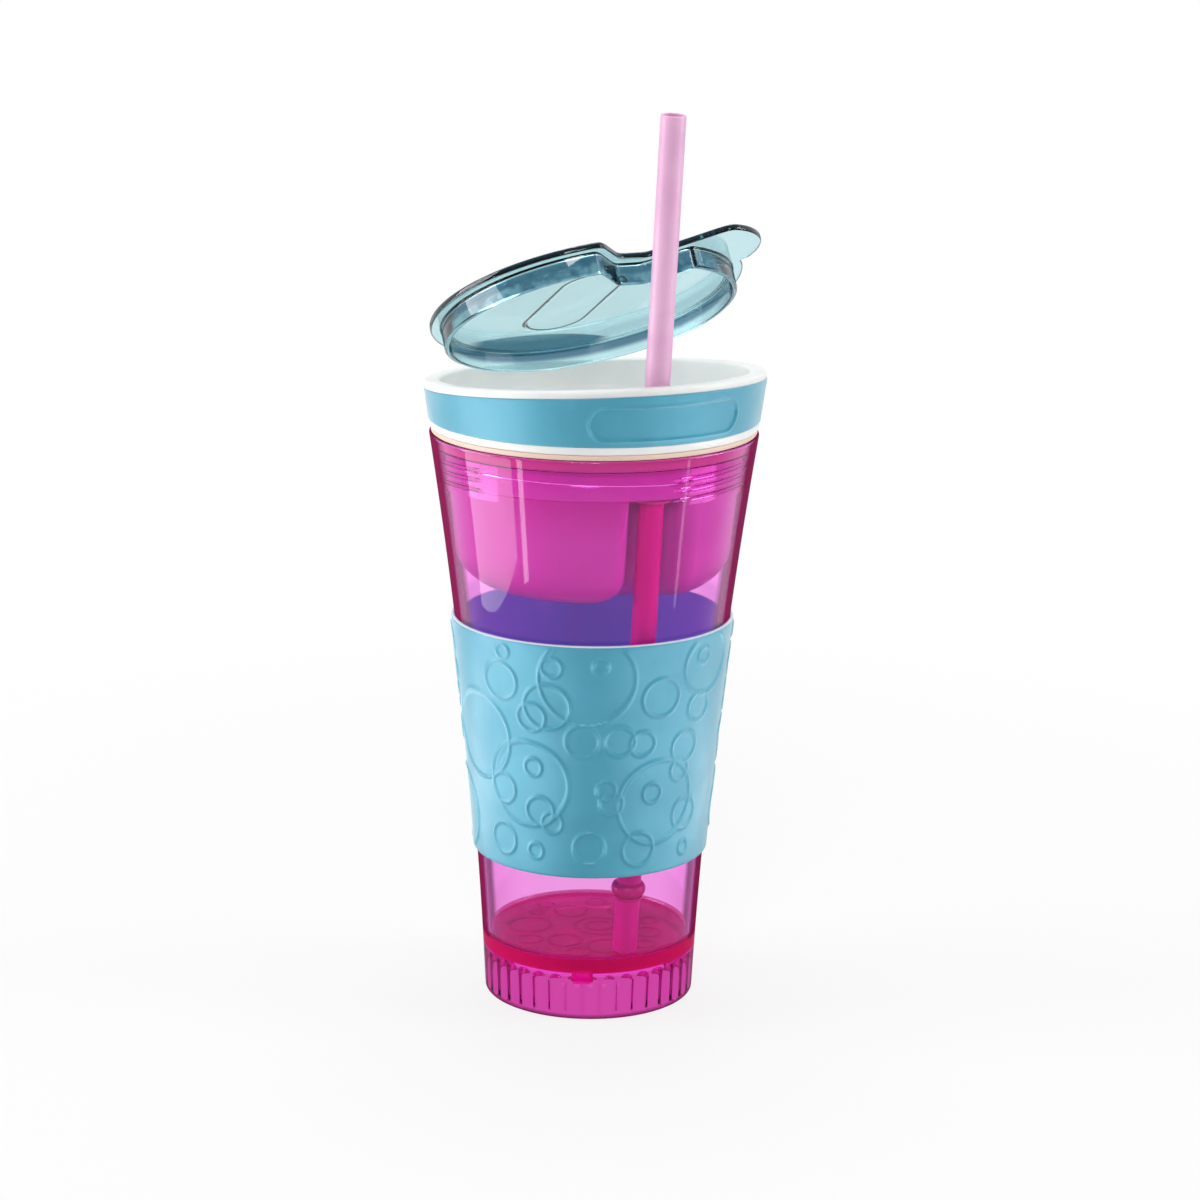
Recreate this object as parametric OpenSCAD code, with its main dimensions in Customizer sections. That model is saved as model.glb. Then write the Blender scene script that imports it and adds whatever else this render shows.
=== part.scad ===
// Two-in-one tumbler for a small child: a clear cup for a drink, a snack tray screwed into
// its mouth, a straw that passes through the tray, and a press-on lid over the snacks.
//
// Z is the axis of the cup and points up. The origin is the centre of the base, on the
// surface that the cup stands on. The front, where the straw and the high side of the
// sloping rim are, faces -Y. Right, as seen from the front, is +X.
// All lengths are in millimetres and all angles in degrees.

/* [Cup] */
// Height of the cup, from the base to its rim
cup_h = 172.9; // [165:0.1:185]
// Outer radius of the cup at its base
cup_base_r = 31.6; // [30.6:0.1:33]
// Outer radius of the cup at its rim
cup_rim_r = 48.7; // [48.3:0.1:50]
// Share of the flare that is even, while the rest grows towards the rim
cup_flare_even = 0.46; // [0.3:0.01:0.6]
// Thickness of the cup's wall
cup_wall = 2.2; // [1.6:0.1:2.4]
// Height of the drinking floor above the base
floor_h = 18.5; // [14:0.1:24]
// Thickness of the drinking floor
floor_t = 4.2; // [2:0.1:6]
// Chamfer round the foot of the cup
foot_chamfer = 0.6; // [0.2:0.1:1.2]
// Number of flutes inside the skirt under the floor
flute_n = 36; // [12:1:48]
// Radius of the rib between two flutes
flute_rib_r = 0.9; // [0.4:0.1:1.4]
// Width of the block that hangs under the floor at the wall
key_w = 5.3; // [3:0.1:8]
// Height of the block that hangs under the floor
key_h = 2.5; // [1:0.1:6]
// How far the block stands in from the wall
key_t = 2.2; // [1:0.1:4]
// Direction of the block, to the right of the front
key_turn = -30; // [-90:1:90]

/* [Screw thread] */
// Rise of the tray in one full turn
thread_lead = 9; // [8.4:0.3:10.5]
// Number of groups of ridges round the mouth
thread_groups = 3; // [3:1:3]
// Angle that one group of ridges spans
thread_span = 50; // [30:1:60]
// Direction of the first group's start, to the right of the front
thread_turn = 1.5; // [-10:0.5:10]
// How far the middle of the ridges lies below the middle of the threaded band
thread_drop = 0.25; // [0:0.05:0.4]
// How far a ridge stands out from its wall
ridge_h = 1.0; // [0.8:0.05:1.15]
// Width of a ridge at its root
ridge_root_w = 1.2; // [0.8:0.1:1.4]
// Width of a ridge at its tip
ridge_tip_w = 0.8; // [0.4:0.1:1]
// Number of ridges in each group on the cup
cup_ridge_n = 3; // [2:1:3]
// Number of ridges in each group on the tray
tray_ridge_n = 2; // [1:1:2]
// Height of the threaded band inside the mouth
land_h = 10.9; // [10.5:0.1:13]
// Depth of the wide mouth above the threaded band
mouth_h = 3.6; // [2.6:0.1:5]
// Gap between the moving faces of the cup, the seal and the tray
turn_gap = 0.35; // [0.3:0.01:0.45]

/* [Grip sleeve] */
// Height of the sleeve's lower edge
sleeve_z = 45.4; // [30:0.1:60]
// Length of the sleeve
sleeve_h = 72.3; // [50:0.1:90]
// Thickness of the sleeve
sleeve_t = 1.05; // [0.6:0.05:2]

/* [Seal] */
// Thickness of the seal between the cup's rim and the tray
seal_t = 1.6; // [1:0.1:3]
// How far the seal's edge stays inside the cup's rim
seal_inset = 0.6; // [0.2:0.1:1.4]
// Gap above and below the seal's flange
seal_gap = 0.1; // [0.05:0.01:0.2]

/* [Tray] */
// Height of the rim's top above the tray's seat, on the cup's axis
rim_h = 15.0; // [13.5:0.1:19]
// Slope of the rim, which is higher at the front
rim_slope = 4.77; // [0:0.01:6]
// How far the rim's lip stands out past the cup's rim
rim_out = 1.7; // [1.2:0.1:3]
// Width of the rim's top
rim_w = 4.9; // [4:0.1:5.6]
// Height of the lip over the coloured band
lip_h = 2.2; // [1.6:0.1:3]
// Height of the plain ring under the coloured band
ring_h = 2.3; // [1.5:0.1:3]
// How far the plain ring stays inside the cup's rim
ring_inset = 0.14; // [0:0.02:0.6]
// Thickness of the tray's walls
tray_wall = 1.8; // [1.4:0.1:2.2]
// Length of the skirt that goes into the cup's mouth
skirt_h = 14.2; // [13.6:0.1:16]
// Depth of the snack bowl below the tray's seat
bowl_h = 47.2; // [36:0.1:60]
// How much narrower the bowl is than the skirt where its round bottom edge starts
bowl_taper = 1.8; // [1.2:0.1:5]
// Radius of the bowl's round bottom edge
bowl_fillet = 14; // [6:0.5:18]

/* [Band] */
// How far the coloured band's lower edge stands out past the plain ring
band_step = 0.4; // [0.1:0.05:1]
// Thickness of the coloured band
band_t = 1.6; // [1:0.1:1.8]

/* [Straw] */
// Outer diameter of the straw
straw_d = 7.2; // [6:0.1:7.6]
// Thickness of the straw's wall
straw_wall = 1; // [0.6:0.1:1.4]
// Length of the straw
straw_len = 251.3; // [230:0.1:280]
// Gap between the straw's foot and the drinking floor
straw_lift = 0.5; // [0.4:0.1:3]
// Gap between the straw's foot and the cup's wall
straw_wall_gap = 3.15; // [2.6:0.05:6]
// Distance between the straw and the outside of the tray's skirt, at the deck
straw_skirt_gap = 2.58; // [2.4:0.02:3.4]
// How far the stop bead stands out from the straw
stop_out = 1.4; // [0.7:0.1:1.6]
// Height of the stop bead
stop_h = 4.8; // [2.4:0.1:5]
// Height of the stop bead's middle above the straw's foot
stop_up = 20; // [10:0.5:60]

/* [Straw channel] */
// Gap between the straw and the sides of its channel in the front of the bowl
channel_side = 4.2; // [3:0.1:4.8]
// Distance from the straw's axis out to the centre of the channel's round back
channel_out = 1.5; // [0.5:0.1:2]
// Thickness of the deck that the straw passes through
deck_t = 3; // [2:0.1:4]
// Gap round the straw above the deck
straw_gap = 0.45; // [0.3:0.05:0.5]
// Thickness of the straw seal's body, in the deck
straw_seal_t = 0.9; // [0.7:0.1:1]
// How far the straw seal's flange stands out past its body, under the deck
straw_seal_lip = 1.1; // [0.6:0.1:1.4]
// Height of the straw seal's flange
straw_seal_lip_h = 0.8; // [0.5:0.1:1.5]
// Running gap between the straw and its seal
straw_fit = 0.05; // [0.02:0.01:0.08]

/* [Lid] */
// How far the lid's flange laps over the rim
lid_lap = 1.3; // [1.1:0.1:2.2]
// Thickness of the lid's plate and flange
lid_t = 1.8; // [1.2:0.1:2.2]
// Gap between the closed lid's flange and the rim
lid_gap = 0.4; // [0.3:0.05:0.6]
// Depth of the plug wall under the flange
plug_h = 6.3; // [4.8:0.1:7.2]
// Thickness of the plug wall
plug_t = 1.5; // [1:0.1:1.8]
// Gap between the plug wall and the tray's opening
plug_gap = 1.7; // [1.4:0.1:2.2]
// Angle by which the lid is tipped open
lid_open = 24.1; // [0:0.1:60]
// How far the line that the lid tips about lies inside the rim's outer edge
pivot_inset = 0.2; // [0:0.1:1]
// Height of that line above the rim
pivot_h = 1.7; // [1:0.1:2.4]
// Half angle of the notch in the flange that lets the straw through
notch_angle = 48; // [40:1:52]
// Half angle of the notch in the plug wall
plug_notch_angle = 45; // [38:1:48]
// Gap between the plug wall and the wall of the straw's channel
channel_gap = 0.7; // [0.5:0.05:1.2]
// Gap between the closed lid and the straw
notch_gap = 0.5; // [0.4:0.05:0.8]
// Direction of the finger tab, to the right of the front
tab_turn = 34.5; // [34:0.5:150]
// Radius of the finger tab's round end
tab_r = 15; // [8:0.1:15.4]
// How far the finger tab reaches out past the flange
tab_out = 11.8; // [7:0.1:15]

/* [Hidden] */
$fn = 96;

// A step by which cuts run past the faces that they leave.
past = 0.6;
// Far larger than the object, for half spaces.
far = 400;
// Points along each stretch of the cup's curved side.
side_steps = 6;
// Turn between two sections of a thread ridge.
ridge_step = 5;
// How deep a ridge's root is set into its wall.
ridge_bite = 0.3;
// Sides of the round ribs between the flutes.
rib_sides = 24;
// Turn between two points of a round bottom edge.
fillet_step = 15;

// Heights above the base.
sleeve_top = sleeve_z + sleeve_h;
land_top = cup_h - mouth_h;
land_z = land_top - land_h;
seat_z = cup_h + seal_t + 2 * seal_gap;
band_z = seat_z + ring_h;
rim_z = seat_z + rim_h;
skirt_z = seat_z - skirt_h;
bowl_z = seat_z - bowl_h;

// Outer radius of the cup's side at height z.
function cup_r(z) = let (s = z / cup_h)
    cup_base_r + (cup_rim_r - cup_base_r) * (cup_flare_even * s + (1 - cup_flare_even) * s * s);

// Points up the cup's side between two heights, offset outwards by d.
function side(z0, z1, d) =
    [for (i = [0 : side_steps]) let (z = z0 + (z1 - z0) * i / side_steps) [cup_r(z) + d, z]];

function reversed(p) = [for (i = [len(p) - 1 : -1 : 0]) p[i]];

// Radii round the mouth, from the cup's wall inwards.
land_r = cup_r(land_z) - cup_wall;
mouth_r = cup_r(land_top) - cup_wall;
skirt_r = land_r - ridge_h - turn_gap;
bowl_r = skirt_r - bowl_taper;

// Radii of the tray's collar, which the cup's rim carries, and of what lies on it.
seal_r = cup_rim_r - seal_inset;
ring_r = cup_rim_r - ring_inset;
rim_r = cup_rim_r + rim_out;
opening_r = rim_r - rim_w;
band_low_r = ring_r + band_step;
lid_r = opening_r + lid_lap;
pivot_r = rim_r - pivot_inset;
tab_reach = lid_r + tab_out;

// Ridges are a third of the lead apart, because each group carries on from the last.
ridge_pitch = thread_lead / thread_groups;
ridge_mid_z = land_z + land_h / 2 - thread_drop;

// The straw stands on the floor near the wall and passes the deck just inside the skirt.
straw_foot_z = floor_h + straw_lift;
straw_foot_r = cup_r(floor_h) - cup_wall - straw_wall_gap - straw_d / 2;
straw_deck_r = skirt_r - straw_skirt_gap - straw_d / 2;
straw_lean = atan((straw_deck_r - straw_foot_r) / (skirt_z - straw_foot_z));

// Distance along the straw from its foot to where its axis meets a height.
function along_straw(z) = (z - straw_foot_z) / cos(straw_lean);
// Distance from the cup's axis to the straw's axis at height z.
function straw_at(z) = straw_foot_r + (z - straw_foot_z) * tan(straw_lean);
deck_s = along_straw(skirt_z);

channel_r = straw_d / 2 + channel_side;
// The pocket's cuts end above the high side of the rim.
pocket_top_s = along_straw(rim_z + rim_r * tan(rim_slope)) + channel_r;
straw_seal_r = straw_d / 2 + straw_seal_t;

// The straw's distance forward in the plane of the rim.
rim_straw = straw_at(rim_z) / (cos(rim_slope) - sin(rim_slope) * tan(straw_lean));

// ------------------------------------------------------------------ frames and helpers

// Puts its children in the frame of the straw: foot at the origin, axis along Z.
module on_straw() {
    translate([0, -straw_foot_r, straw_foot_z]) rotate([straw_lean, 0, 0]) children();
}

// Puts its children in the plane of the rim: centre at the origin, normal along Z.
module on_rim() {
    translate([0, 0, rim_z]) rotate([-rim_slope, 0, 0]) children();
}

// Everything below the plane that runs "above" over the rim's plane.
module below_rim(above) {
    on_rim() translate([-far / 2, -far / 2, above - far]) cube([far, far, far]);
}

// Turns its children so that their -Y looks "turn" degrees to the right of the front.
module facing(turn) {
    rotate([0, 0, turn]) children();
}

// One thread ridge: a strip of a screw surface between two radii.
// It spans thread_span, and its middle is at height mid_z.
module ridge(root_r, tip_r, mid_z) {
    steps = ceil(thread_span / ridge_step);
    section = [[root_r, -ridge_root_w / 2], [tip_r, -ridge_tip_w / 2],
               [tip_r, ridge_tip_w / 2], [root_r, ridge_root_w / 2]];
    points = [for (i = [0 : steps], p = section)
              let (turn = thread_span * i / steps - thread_span / 2)
              [p[0] * cos(turn), p[0] * sin(turn), mid_z + p[1] + thread_lead * turn / 360]];
    sides = [for (i = [0 : steps - 1], k = [0 : 3])
             [4 * i + k, 4 * i + (k + 1) % 4, 4 * i + 4 + (k + 1) % 4, 4 * i + 4 + k]];
    ends = [[3, 2, 1, 0], [4 * steps, 4 * steps + 1, 4 * steps + 2, 4 * steps + 3]];
    inside_out = tip_r < root_r;
    faces = concat(sides, ends);
    polyhedron(points, inside_out ? [for (f = faces) reversed(f)] : faces, convexity = 4);
}

// All the groups of ridges on one wall, count ridges in each, centred on height mid_z.
module ridges(root_r, tip_r, mid_z, count) {
    for (g = [0 : thread_groups - 1], k = [0 : count - 1]) {
        turn = thread_turn + thread_span / 2 - 90 + g * 360 / thread_groups;
        rotate([0, 0, turn]) ridge(root_r, tip_r, mid_z + (k - (count - 1) / 2) * ridge_pitch);
    }
}

// ------------------------------------------------------------------ cup and sleeve

module cup_shell() {
    outside = concat([[cup_base_r - foot_chamfer, 0], [cup_base_r, foot_chamfer]],
                     side(foot_chamfer * 2, sleeve_z, 0), side(sleeve_z, sleeve_top, 0),
                     side(sleeve_top, cup_h, 0));
    inside = concat([[mouth_r, cup_h], [mouth_r, land_top], [land_r, land_top], [land_r, land_z]],
                    reversed(side(floor_h, land_z, -cup_wall)), [[0, floor_h]]);
    underside = [[0, floor_h - floor_t], [cup_r(floor_h - floor_t) - cup_wall, floor_h - floor_t],
                 [cup_base_r - cup_wall, 0]];
    rotate_extrude() polygon(concat(outside, inside, underside));
}

// Ribs between the flutes, inside the skirt under the floor.
module flute_ribs() {
    for (i = [0 : flute_n - 1])
        rotate([0, 0, (i + 0.5) * 360 / flute_n])
            translate([cup_base_r - cup_wall, 0, foot_chamfer])
                cylinder(r = flute_rib_r, h = floor_h - floor_t / 2, $fn = rib_sides);
}

module cup_body() color([0.85, 0.15, 0.55, 0.6]) {
    key_back = cup_base_r - cup_wall / 2;
    union() {
        cup_shell();
        intersection() {
            flute_ribs();
            cylinder(r = cup_base_r - cup_wall / 2, h = floor_h);
        }
        facing(key_turn) translate([-key_w / 2, -key_back, floor_h - floor_t - key_h])
            cube([key_w, cup_wall / 2 + key_t, key_h + floor_t / 2]);
        ridges(land_r + ridge_bite, land_r - ridge_h, ridge_mid_z, cup_ridge_n);
    }
}

module grip_sleeve() color([0.44, 0.76, 0.84]) {
    rotate_extrude() polygon(concat(side(sleeve_z, sleeve_top, sleeve_t),
                                    reversed(side(sleeve_z, sleeve_top, 0))));
}

// ------------------------------------------------------------------ seal

// An angle ring: its flange lies on the cup's rim and its leg hangs in the wide mouth.
module cup_seal() color([0.95, 0.78, 0.70]) {
    flange_z = cup_h + seal_gap;
    leg_r = mouth_r - turn_gap;
    hole_r = skirt_r + turn_gap;
    difference() {
        union() {
            translate([0, 0, flange_z]) cylinder(r = seal_r, h = seal_t);
            translate([0, 0, land_top + turn_gap]) cylinder(r = leg_r, h = mouth_h);
        }
        translate([0, 0, land_top - past]) cylinder(r = hole_r, h = mouth_h + seal_t + 2 * past);
    }
}

// ------------------------------------------------------------------ tray

// Height above the seat at which the sloping cuts have passed the whole rim.
ring_wall_h = rim_h + rim_r * tan(rim_slope) + past;

// The bowl, the skirt and the plain ring, as one solid of revolution.
module tray_lower() {
    fillet = [for (a = [0 : fillet_step : 90])
              [bowl_r - bowl_fillet + bowl_fillet * sin(a), bowl_z + bowl_fillet * (1 - cos(a))]];
    rotate_extrude() polygon(concat([[0, bowl_z]], fillet,
        [[skirt_r, skirt_z], [skirt_r, seat_z], [ring_r, seat_z], [ring_r, band_z], [0, band_z]]));
}

// The hollow of the tray, without the wall round the straw, grown by d.
module tray_hollow(d) {
    fillet_r = bowl_fillet - tray_wall + d;
    low_r = bowl_r - tray_wall + d;
    skirt_in = skirt_r - tray_wall + d;
    mouth_in = opening_r + d;
    floor_in = bowl_z + tray_wall - d;
    shelf_z = seat_z + tray_wall;
    top_z = seat_z + ring_wall_h + past;
    fillet = [for (a = [0 : fillet_step : 90])
              [low_r - fillet_r + fillet_r * sin(a), floor_in + fillet_r * (1 - cos(a))]];
    rotate_extrude() polygon(concat([[0, floor_in]], fillet,
        [[skirt_in, skirt_z], [skirt_in, shelf_z], [mouth_in - tray_wall / 2, shelf_z],
         [mouth_in, shelf_z + tray_wall], [mouth_in, top_z], [0, top_z]]));
}

// A solid cone whose side is the face of the coloured band, set in by "inset".
module band_cone(inset) {
    low = band_low_r - inset;
    slope = (rim_r - band_low_r) / (rim_z - lip_h - band_z);
    up = ring_wall_h - ring_h;
    rotate_extrude() polygon([[0, band_z], [low, band_z], [low + slope * up, band_z + up],
                              [0, band_z + up]]);
}

// The wall behind the coloured band and the lip over it, as a solid with a sloping top.
module tray_upper() {
    intersection() {
        band_cone(band_t);
        below_rim(-lip_h / 2);
    }
    intersection() {
        translate([0, 0, band_z]) cylinder(r = rim_r, h = ring_wall_h);
        difference() {
            below_rim(0);
            below_rim(-lip_h);
        }
    }
}

// The outline of the straw's channel, grown by d. It is open towards the front.
module channel_outline(d) {
    translate([0, -channel_out]) circle(r = channel_r + d);
    translate([-channel_r - d, -channel_out - far / 4]) square([2 * (channel_r + d), far / 4]);
}

module channel(d, from, to) {
    on_straw() translate([0, 0, from]) linear_extrude(to - from) channel_outline(d);
}

// The wall that keeps the snacks away from the straw, solid below the deck's top.
module channel_wall() {
    under = deck_s - bowl_h;
    deck_top = deck_s + deck_t;
    intersection() {
        tray_hollow(tray_wall / 2);
        below_rim(-tray_wall);
        union() {
            channel(tray_wall, under, deck_top);
            difference() {
                channel(tray_wall, deck_top - past, pocket_top_s);
                channel(0, deck_top, pocket_top_s + past);
            }
        }
    }
}

module snack_tray() color([0.97, 0.97, 0.96]) {
    bore_r = straw_d / 2 + straw_gap;
    difference() {
        difference() {
            union() {
                difference() {
                    union() {
                        tray_lower();
                        tray_upper();
                    }
                    tray_hollow(0);
                }
                channel_wall();
            }
            // The groove in front of the bowl, up to the deck.
            channel(0, deck_s - bowl_h - 2 * past, deck_s);
        }
        on_straw() translate([0, 0, deck_s - deck_t])
            cylinder(r = bore_r, h = pocket_top_s - deck_s);
        on_straw() translate([0, 0, deck_s - deck_t / 2]) cylinder(r = straw_seal_r, h = 2 * deck_t);
    }
    ridges(skirt_r - ridge_bite, skirt_r + ridge_h, ridge_mid_z, tray_ridge_n);
}

module rim_band() color([0.44, 0.76, 0.84]) {
    difference() {
        intersection() {
            band_cone(0);
            below_rim(-lip_h);
        }
        band_cone(band_t);
    }
}

// ------------------------------------------------------------------ straw

module straw_seal() color([0.95, 0.78, 0.70]) {
    seal_h = straw_seal_lip_h + deck_t;
    on_straw() translate([0, 0, deck_s - straw_seal_lip_h]) difference() {
        union() {
            cylinder(r = straw_seal_r + straw_seal_lip, h = straw_seal_lip_h);
            cylinder(r = straw_seal_r, h = seal_h);
        }
        translate([0, 0, -past]) cylinder(r = straw_d / 2 + straw_fit, h = seal_h + 2 * past);
    }
}

module straw_tube() color([0.89, 0.61, 0.80]) {
    on_straw() difference() {
        cylinder(d = straw_d, h = straw_len);
        translate([0, 0, -past]) cylinder(d = straw_d - 2 * straw_wall, h = straw_len + 2 * past);
    }
}

// A round bead on the straw, which the straw seal stops when the straw is pulled up.
module straw_stop() color([0.80, 0.05, 0.50]) {
    stop_r = straw_d / 2 + stop_out;
    on_straw() translate([0, 0, stop_up]) difference() {
        rotate_extrude() translate([stop_r - stop_h / 2, 0]) circle(d = stop_h);
        translate([0, 0, -stop_h]) cylinder(d = straw_d, h = 2 * stop_h);
    }
}

// ------------------------------------------------------------------ lid

// The notch in the front of a disc: a round back of radius r, whose centre is "forward"
// of the disc's centre, and two sides that open by half_angle each.
module notch(forward, r, half_angle) {
    touch = [r * cos(half_angle), r * sin(half_angle) - forward];
    mouth = [touch[0] + lid_r * sin(half_angle), touch[1] - lid_r * cos(half_angle)];
    translate([0, -forward]) circle(r = r);
    polygon([[-touch[0], touch[1]], touch, mouth, [-mouth[0], mouth[1]]]);
}

// The flange with its finger tab.
module flange_outline() {
    difference() {
        union() {
            circle(r = lid_r);
            facing(tab_turn) translate([0, tab_r - tab_reach]) circle(r = tab_r);
        }
        notch(rim_straw, straw_d / 2 + notch_gap, notch_angle);
    }
}

// The plug wall's outline, set in by d. It goes round the wall of the straw's channel, which
// leans back under the rim, so the notch is placed for the plug wall's lower edge.
module plug_outline(d) {
    lean_back = plug_h * tan(straw_lean + rim_slope);
    difference() {
        circle(r = opening_r - plug_gap - d);
        notch(rim_straw + channel_out - lean_back, channel_r + tray_wall + channel_gap + d,
              plug_notch_angle);
    }
}

// The lid as it is when shut, in the plane of the rim.
module lid_shut() {
    translate([0, 0, lid_gap]) {
        linear_extrude(lid_t) flange_outline();
        translate([0, 0, -plug_h]) linear_extrude(plug_h + lid_t / 2) difference() {
            plug_outline(0);
            plug_outline(plug_t);
        }
    }
}

// The lid tips about a line across the back of the rim.
module snack_lid() color([0.55, 0.80, 0.86, 0.6]) {
    on_rim() translate([0, pivot_r, pivot_h]) rotate([-lid_open, 0, 0])
        translate([0, -pivot_r, -pivot_h]) lid_shut();
}

cup_body();
grip_sleeve();
cup_seal();
snack_tray();
rim_band();
straw_seal();
straw_tube();
straw_stop();
snack_lid();
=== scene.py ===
"""Looks of a two-in-one tumbler: drink cup, snack tray, straw and press-on lid.

Lengths are in millimetres until a mesh is made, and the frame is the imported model's:
Z up along the cup's axis, the front, with the straw, towards -Y, and right towards +X.
A turn is an angle from the front towards the right.
"""
from functools import partialmethod
from math import acos, atan2, cos, hypot, log, pi, radians, sin, sqrt, tan

import bmesh
import bpy
import numpy as np
from mathutils import Matrix, Vector


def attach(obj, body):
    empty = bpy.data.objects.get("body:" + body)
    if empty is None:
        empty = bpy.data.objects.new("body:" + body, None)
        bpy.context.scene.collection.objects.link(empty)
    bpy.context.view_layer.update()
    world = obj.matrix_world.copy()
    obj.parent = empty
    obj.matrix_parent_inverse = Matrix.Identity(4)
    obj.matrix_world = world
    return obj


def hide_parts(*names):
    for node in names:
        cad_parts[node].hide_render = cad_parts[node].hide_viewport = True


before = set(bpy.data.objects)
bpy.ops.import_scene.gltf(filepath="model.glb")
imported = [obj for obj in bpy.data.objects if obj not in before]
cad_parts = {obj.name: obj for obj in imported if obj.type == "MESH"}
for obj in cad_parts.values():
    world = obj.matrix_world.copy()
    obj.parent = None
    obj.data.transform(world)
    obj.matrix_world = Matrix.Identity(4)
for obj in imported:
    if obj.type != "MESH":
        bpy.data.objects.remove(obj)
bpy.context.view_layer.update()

bl_info = {
    "name": "Snack and drink tumbler",
    "version": (1, 0, 0),
    "blender": (4, 5, 0),
    "location": "3D View > Sidebar > Tumbler",
    "description": "Builds the finished surfaces of a tumbler round its packed solids",
    "category": "Object",
}

MM = 0.001
TAU = 2 * pi

# --- sizes of the solids
CUP_H, CUP_BASE_R, CUP_RIM_R, CUP_EVEN, CUP_WALL = 172.9, 31.6, 48.7, 0.46, 2.2
FLOOR_H, FLOOR_T = 18.5, 4.2
KEY_TURN = -radians(30)
LAND_Z, LAND_TOP = 158.4, 169.3
LAND_R, MOUTH_R = 44.356, 46.05
SLEEVE_Z, SLEEVE_TOP, SLEEVE_T = 45.4, 117.7, 1.05
SEAT_Z, RING_TOP, RING_R = 174.7, 177.0, 48.56
RIM_Z, RIM_R, OPENING_R, LIP_H = 189.7, 50.4, 45.5, 2.2
RIM_SLOPE = radians(4.77)
BAND_LOW_R, BAND_T = 48.96, 1.6
SKIRT_Z, SKIRT_R, BOWL_Z, BOWL_R, BOWL_FILLET, TRAY_WALL = 160.5, 43.006, 127.5, 41.206, 14.0, 1.8
DECK_T = 3.0
STRAW_R, STRAW_BORE_R, STRAW_LEN = 3.6, 2.6, 251.3
STRAW_FOOT, STRAW_LEAN = (23.6, 19.0), radians(5.341)
CHANNEL_R, CHANNEL_OUT, BAY_ROUND = 7.8, 1.5, 8.5
THREAD_LEAD, THREAD_SPAN, THREAD_TURN, THREAD_GROUPS = 9.0, 50.0, 1.5, 3
LID_R, LID_T, LID_GAP, LID_OPEN = 46.8, 1.8, 0.4, radians(24.1)
PLUG_R, PLUG_H, PLUG_T = 43.8, 6.3, 1.5
PIVOT_R, PIVOT_H = 50.2, 1.7

# --- shapes of the details
FLUTE_TOP, FLUTE_ARCH = 3.6, 2.7  # how far under the floor a flute's round top starts, its height
KEY_HALF, KEY_H, KEY_DEPTH = 2.65, 2.5, 2.2
RIDGE_Z, RIDGE_W, LINE_Z = 163.6, 1.0, 165.6
RING_FLAT_R = 38.5  # the sleeve's rings are laid out on a cylinder of this radius
PANEL_R, PANEL_Z, PANEL_HALF = 49.7, 183.6, (24.4, 4.7)
LIP_R = 4.2
STRIP_TOP, SHELF_Z, BAND_SEAT_R = 167.1, 176.5, 47.2
WALL_TIPS = ([174.0, 178.5], [42.1, 46.4])  # heights, and the radius that the straw wall reaches
BEAD_Z, BEAD_R, BEAD_H = 20.1, 5.0, 2.25
TAB_TURN, TAB_LEFT, TAB_RIGHT, TAB_OUT = 30, 18, 26, 11.7  # in degrees, and its reach
DENSE_R = 27.5  # inside this radius the lid's upper face has close rows, for its panel
FLANGE_NOTCH = (34.2, 4.6, radians(44))  # its back, half its width there, its sides' angle
PLUG_NOTCH = (30.2, 4.6, radians(43))
PLUG_NOTCH_IN = (30.2 - PLUG_T, 4.2, radians(43))

# --- where colours change, in metres: pairs of a soft limit's two ends
FOOT_LINE = (0.0007, 0.0013)
SLAB_LOW, SLAB_TOP = (0.0136, 0.0142), (0.0184, 0.0190)
FACE_LOW, FACE_TOP, FACE_REACH = (0.0181, 0.0183), (0.0188, 0.0191), (0.0306, 0.0309)
EDGE_LOW, EDGE_TOP = (0.0146, 0.0149), (0.0192, 0.0196)
KEY_REACH, KEY_SIDE = (0.026, 0.027), (0.0024, 0.0028)
KEY_LOW, KEY_TOP = (0.0112, 0.0116), (0.0144, 0.0147)
COLLAR_LOW, COLLAR_TOP, COLLAR_REACH = (0.146, 0.1600), (0.1603, 0.1606), (0.0413, 0.0415)
STRAW_IN_CUP = (0.165, 0.172)
# The lid's painted dark reflection of its plug wall: the bend and back of its front curve, and its
# side and reach limits.
LENS_BEND, LENS_BACK, LENS_SIDE, LENS_REACH = 8.5, 0.027, (0.019, 0.027), (0.0435, 0.0440)

# --- the photograph's view
VIEW_DISTANCE, VIEW_HEIGHT = 932.4, 351.4
VIEW_PITCH, VIEW_YAW, VIEW_ROLL = radians(13.87), radians(0.14), radians(0.63)
VIEW_TURN = radians(-26.5)
VIEW_FOCAL_PX, VIEW_PX, SENSOR = 3215.0, 1200.0, 36.0


def linear(code):
    """The linear colour of a screen colour written as six hexadecimal digits."""
    parts = [int(code[i:i + 2], 16) / 255 for i in (0, 2, 4)]
    return tuple(p / 12.92 if p <= 0.04045 else ((p + 0.055) / 1.055) ** 2.4 for p in parts)


def view_axes():
    """Camera position in millimetres, and its right, up and forward directions."""
    cp, sp = cos(VIEW_PITCH), sin(VIEW_PITCH)
    cy, sy = cos(VIEW_YAW), sin(VIEW_YAW)
    ahead = np.array([sy * cp, cy * cp, -sp])
    level = np.array([cy, -sy, 0.0])
    over = np.cross(level, ahead)
    cr, sr = cos(VIEW_ROLL), sin(VIEW_ROLL)
    right, up = cr * level + sr * over, cr * over - sr * level
    c, s = cos(VIEW_TURN), sin(VIEW_TURN)
    turned = np.array([[c, -s, 0], [s, c, 0], [0, 0, 1]])
    place = turned @ np.array([0.0, -VIEW_DISTANCE, VIEW_HEIGHT])
    return place, turned @ right, turned @ up, turned @ ahead


# --- shapes, as arrays
def cup_r(z):
    """Radius of the cup's side at height z: an even flare and one that grows with z squared."""
    s = np.asarray(z, float) / CUP_H
    return CUP_BASE_R + (CUP_RIM_R - CUP_BASE_R) * (CUP_EVEN * s + (1 - CUP_EVEN) * s * s)


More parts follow.
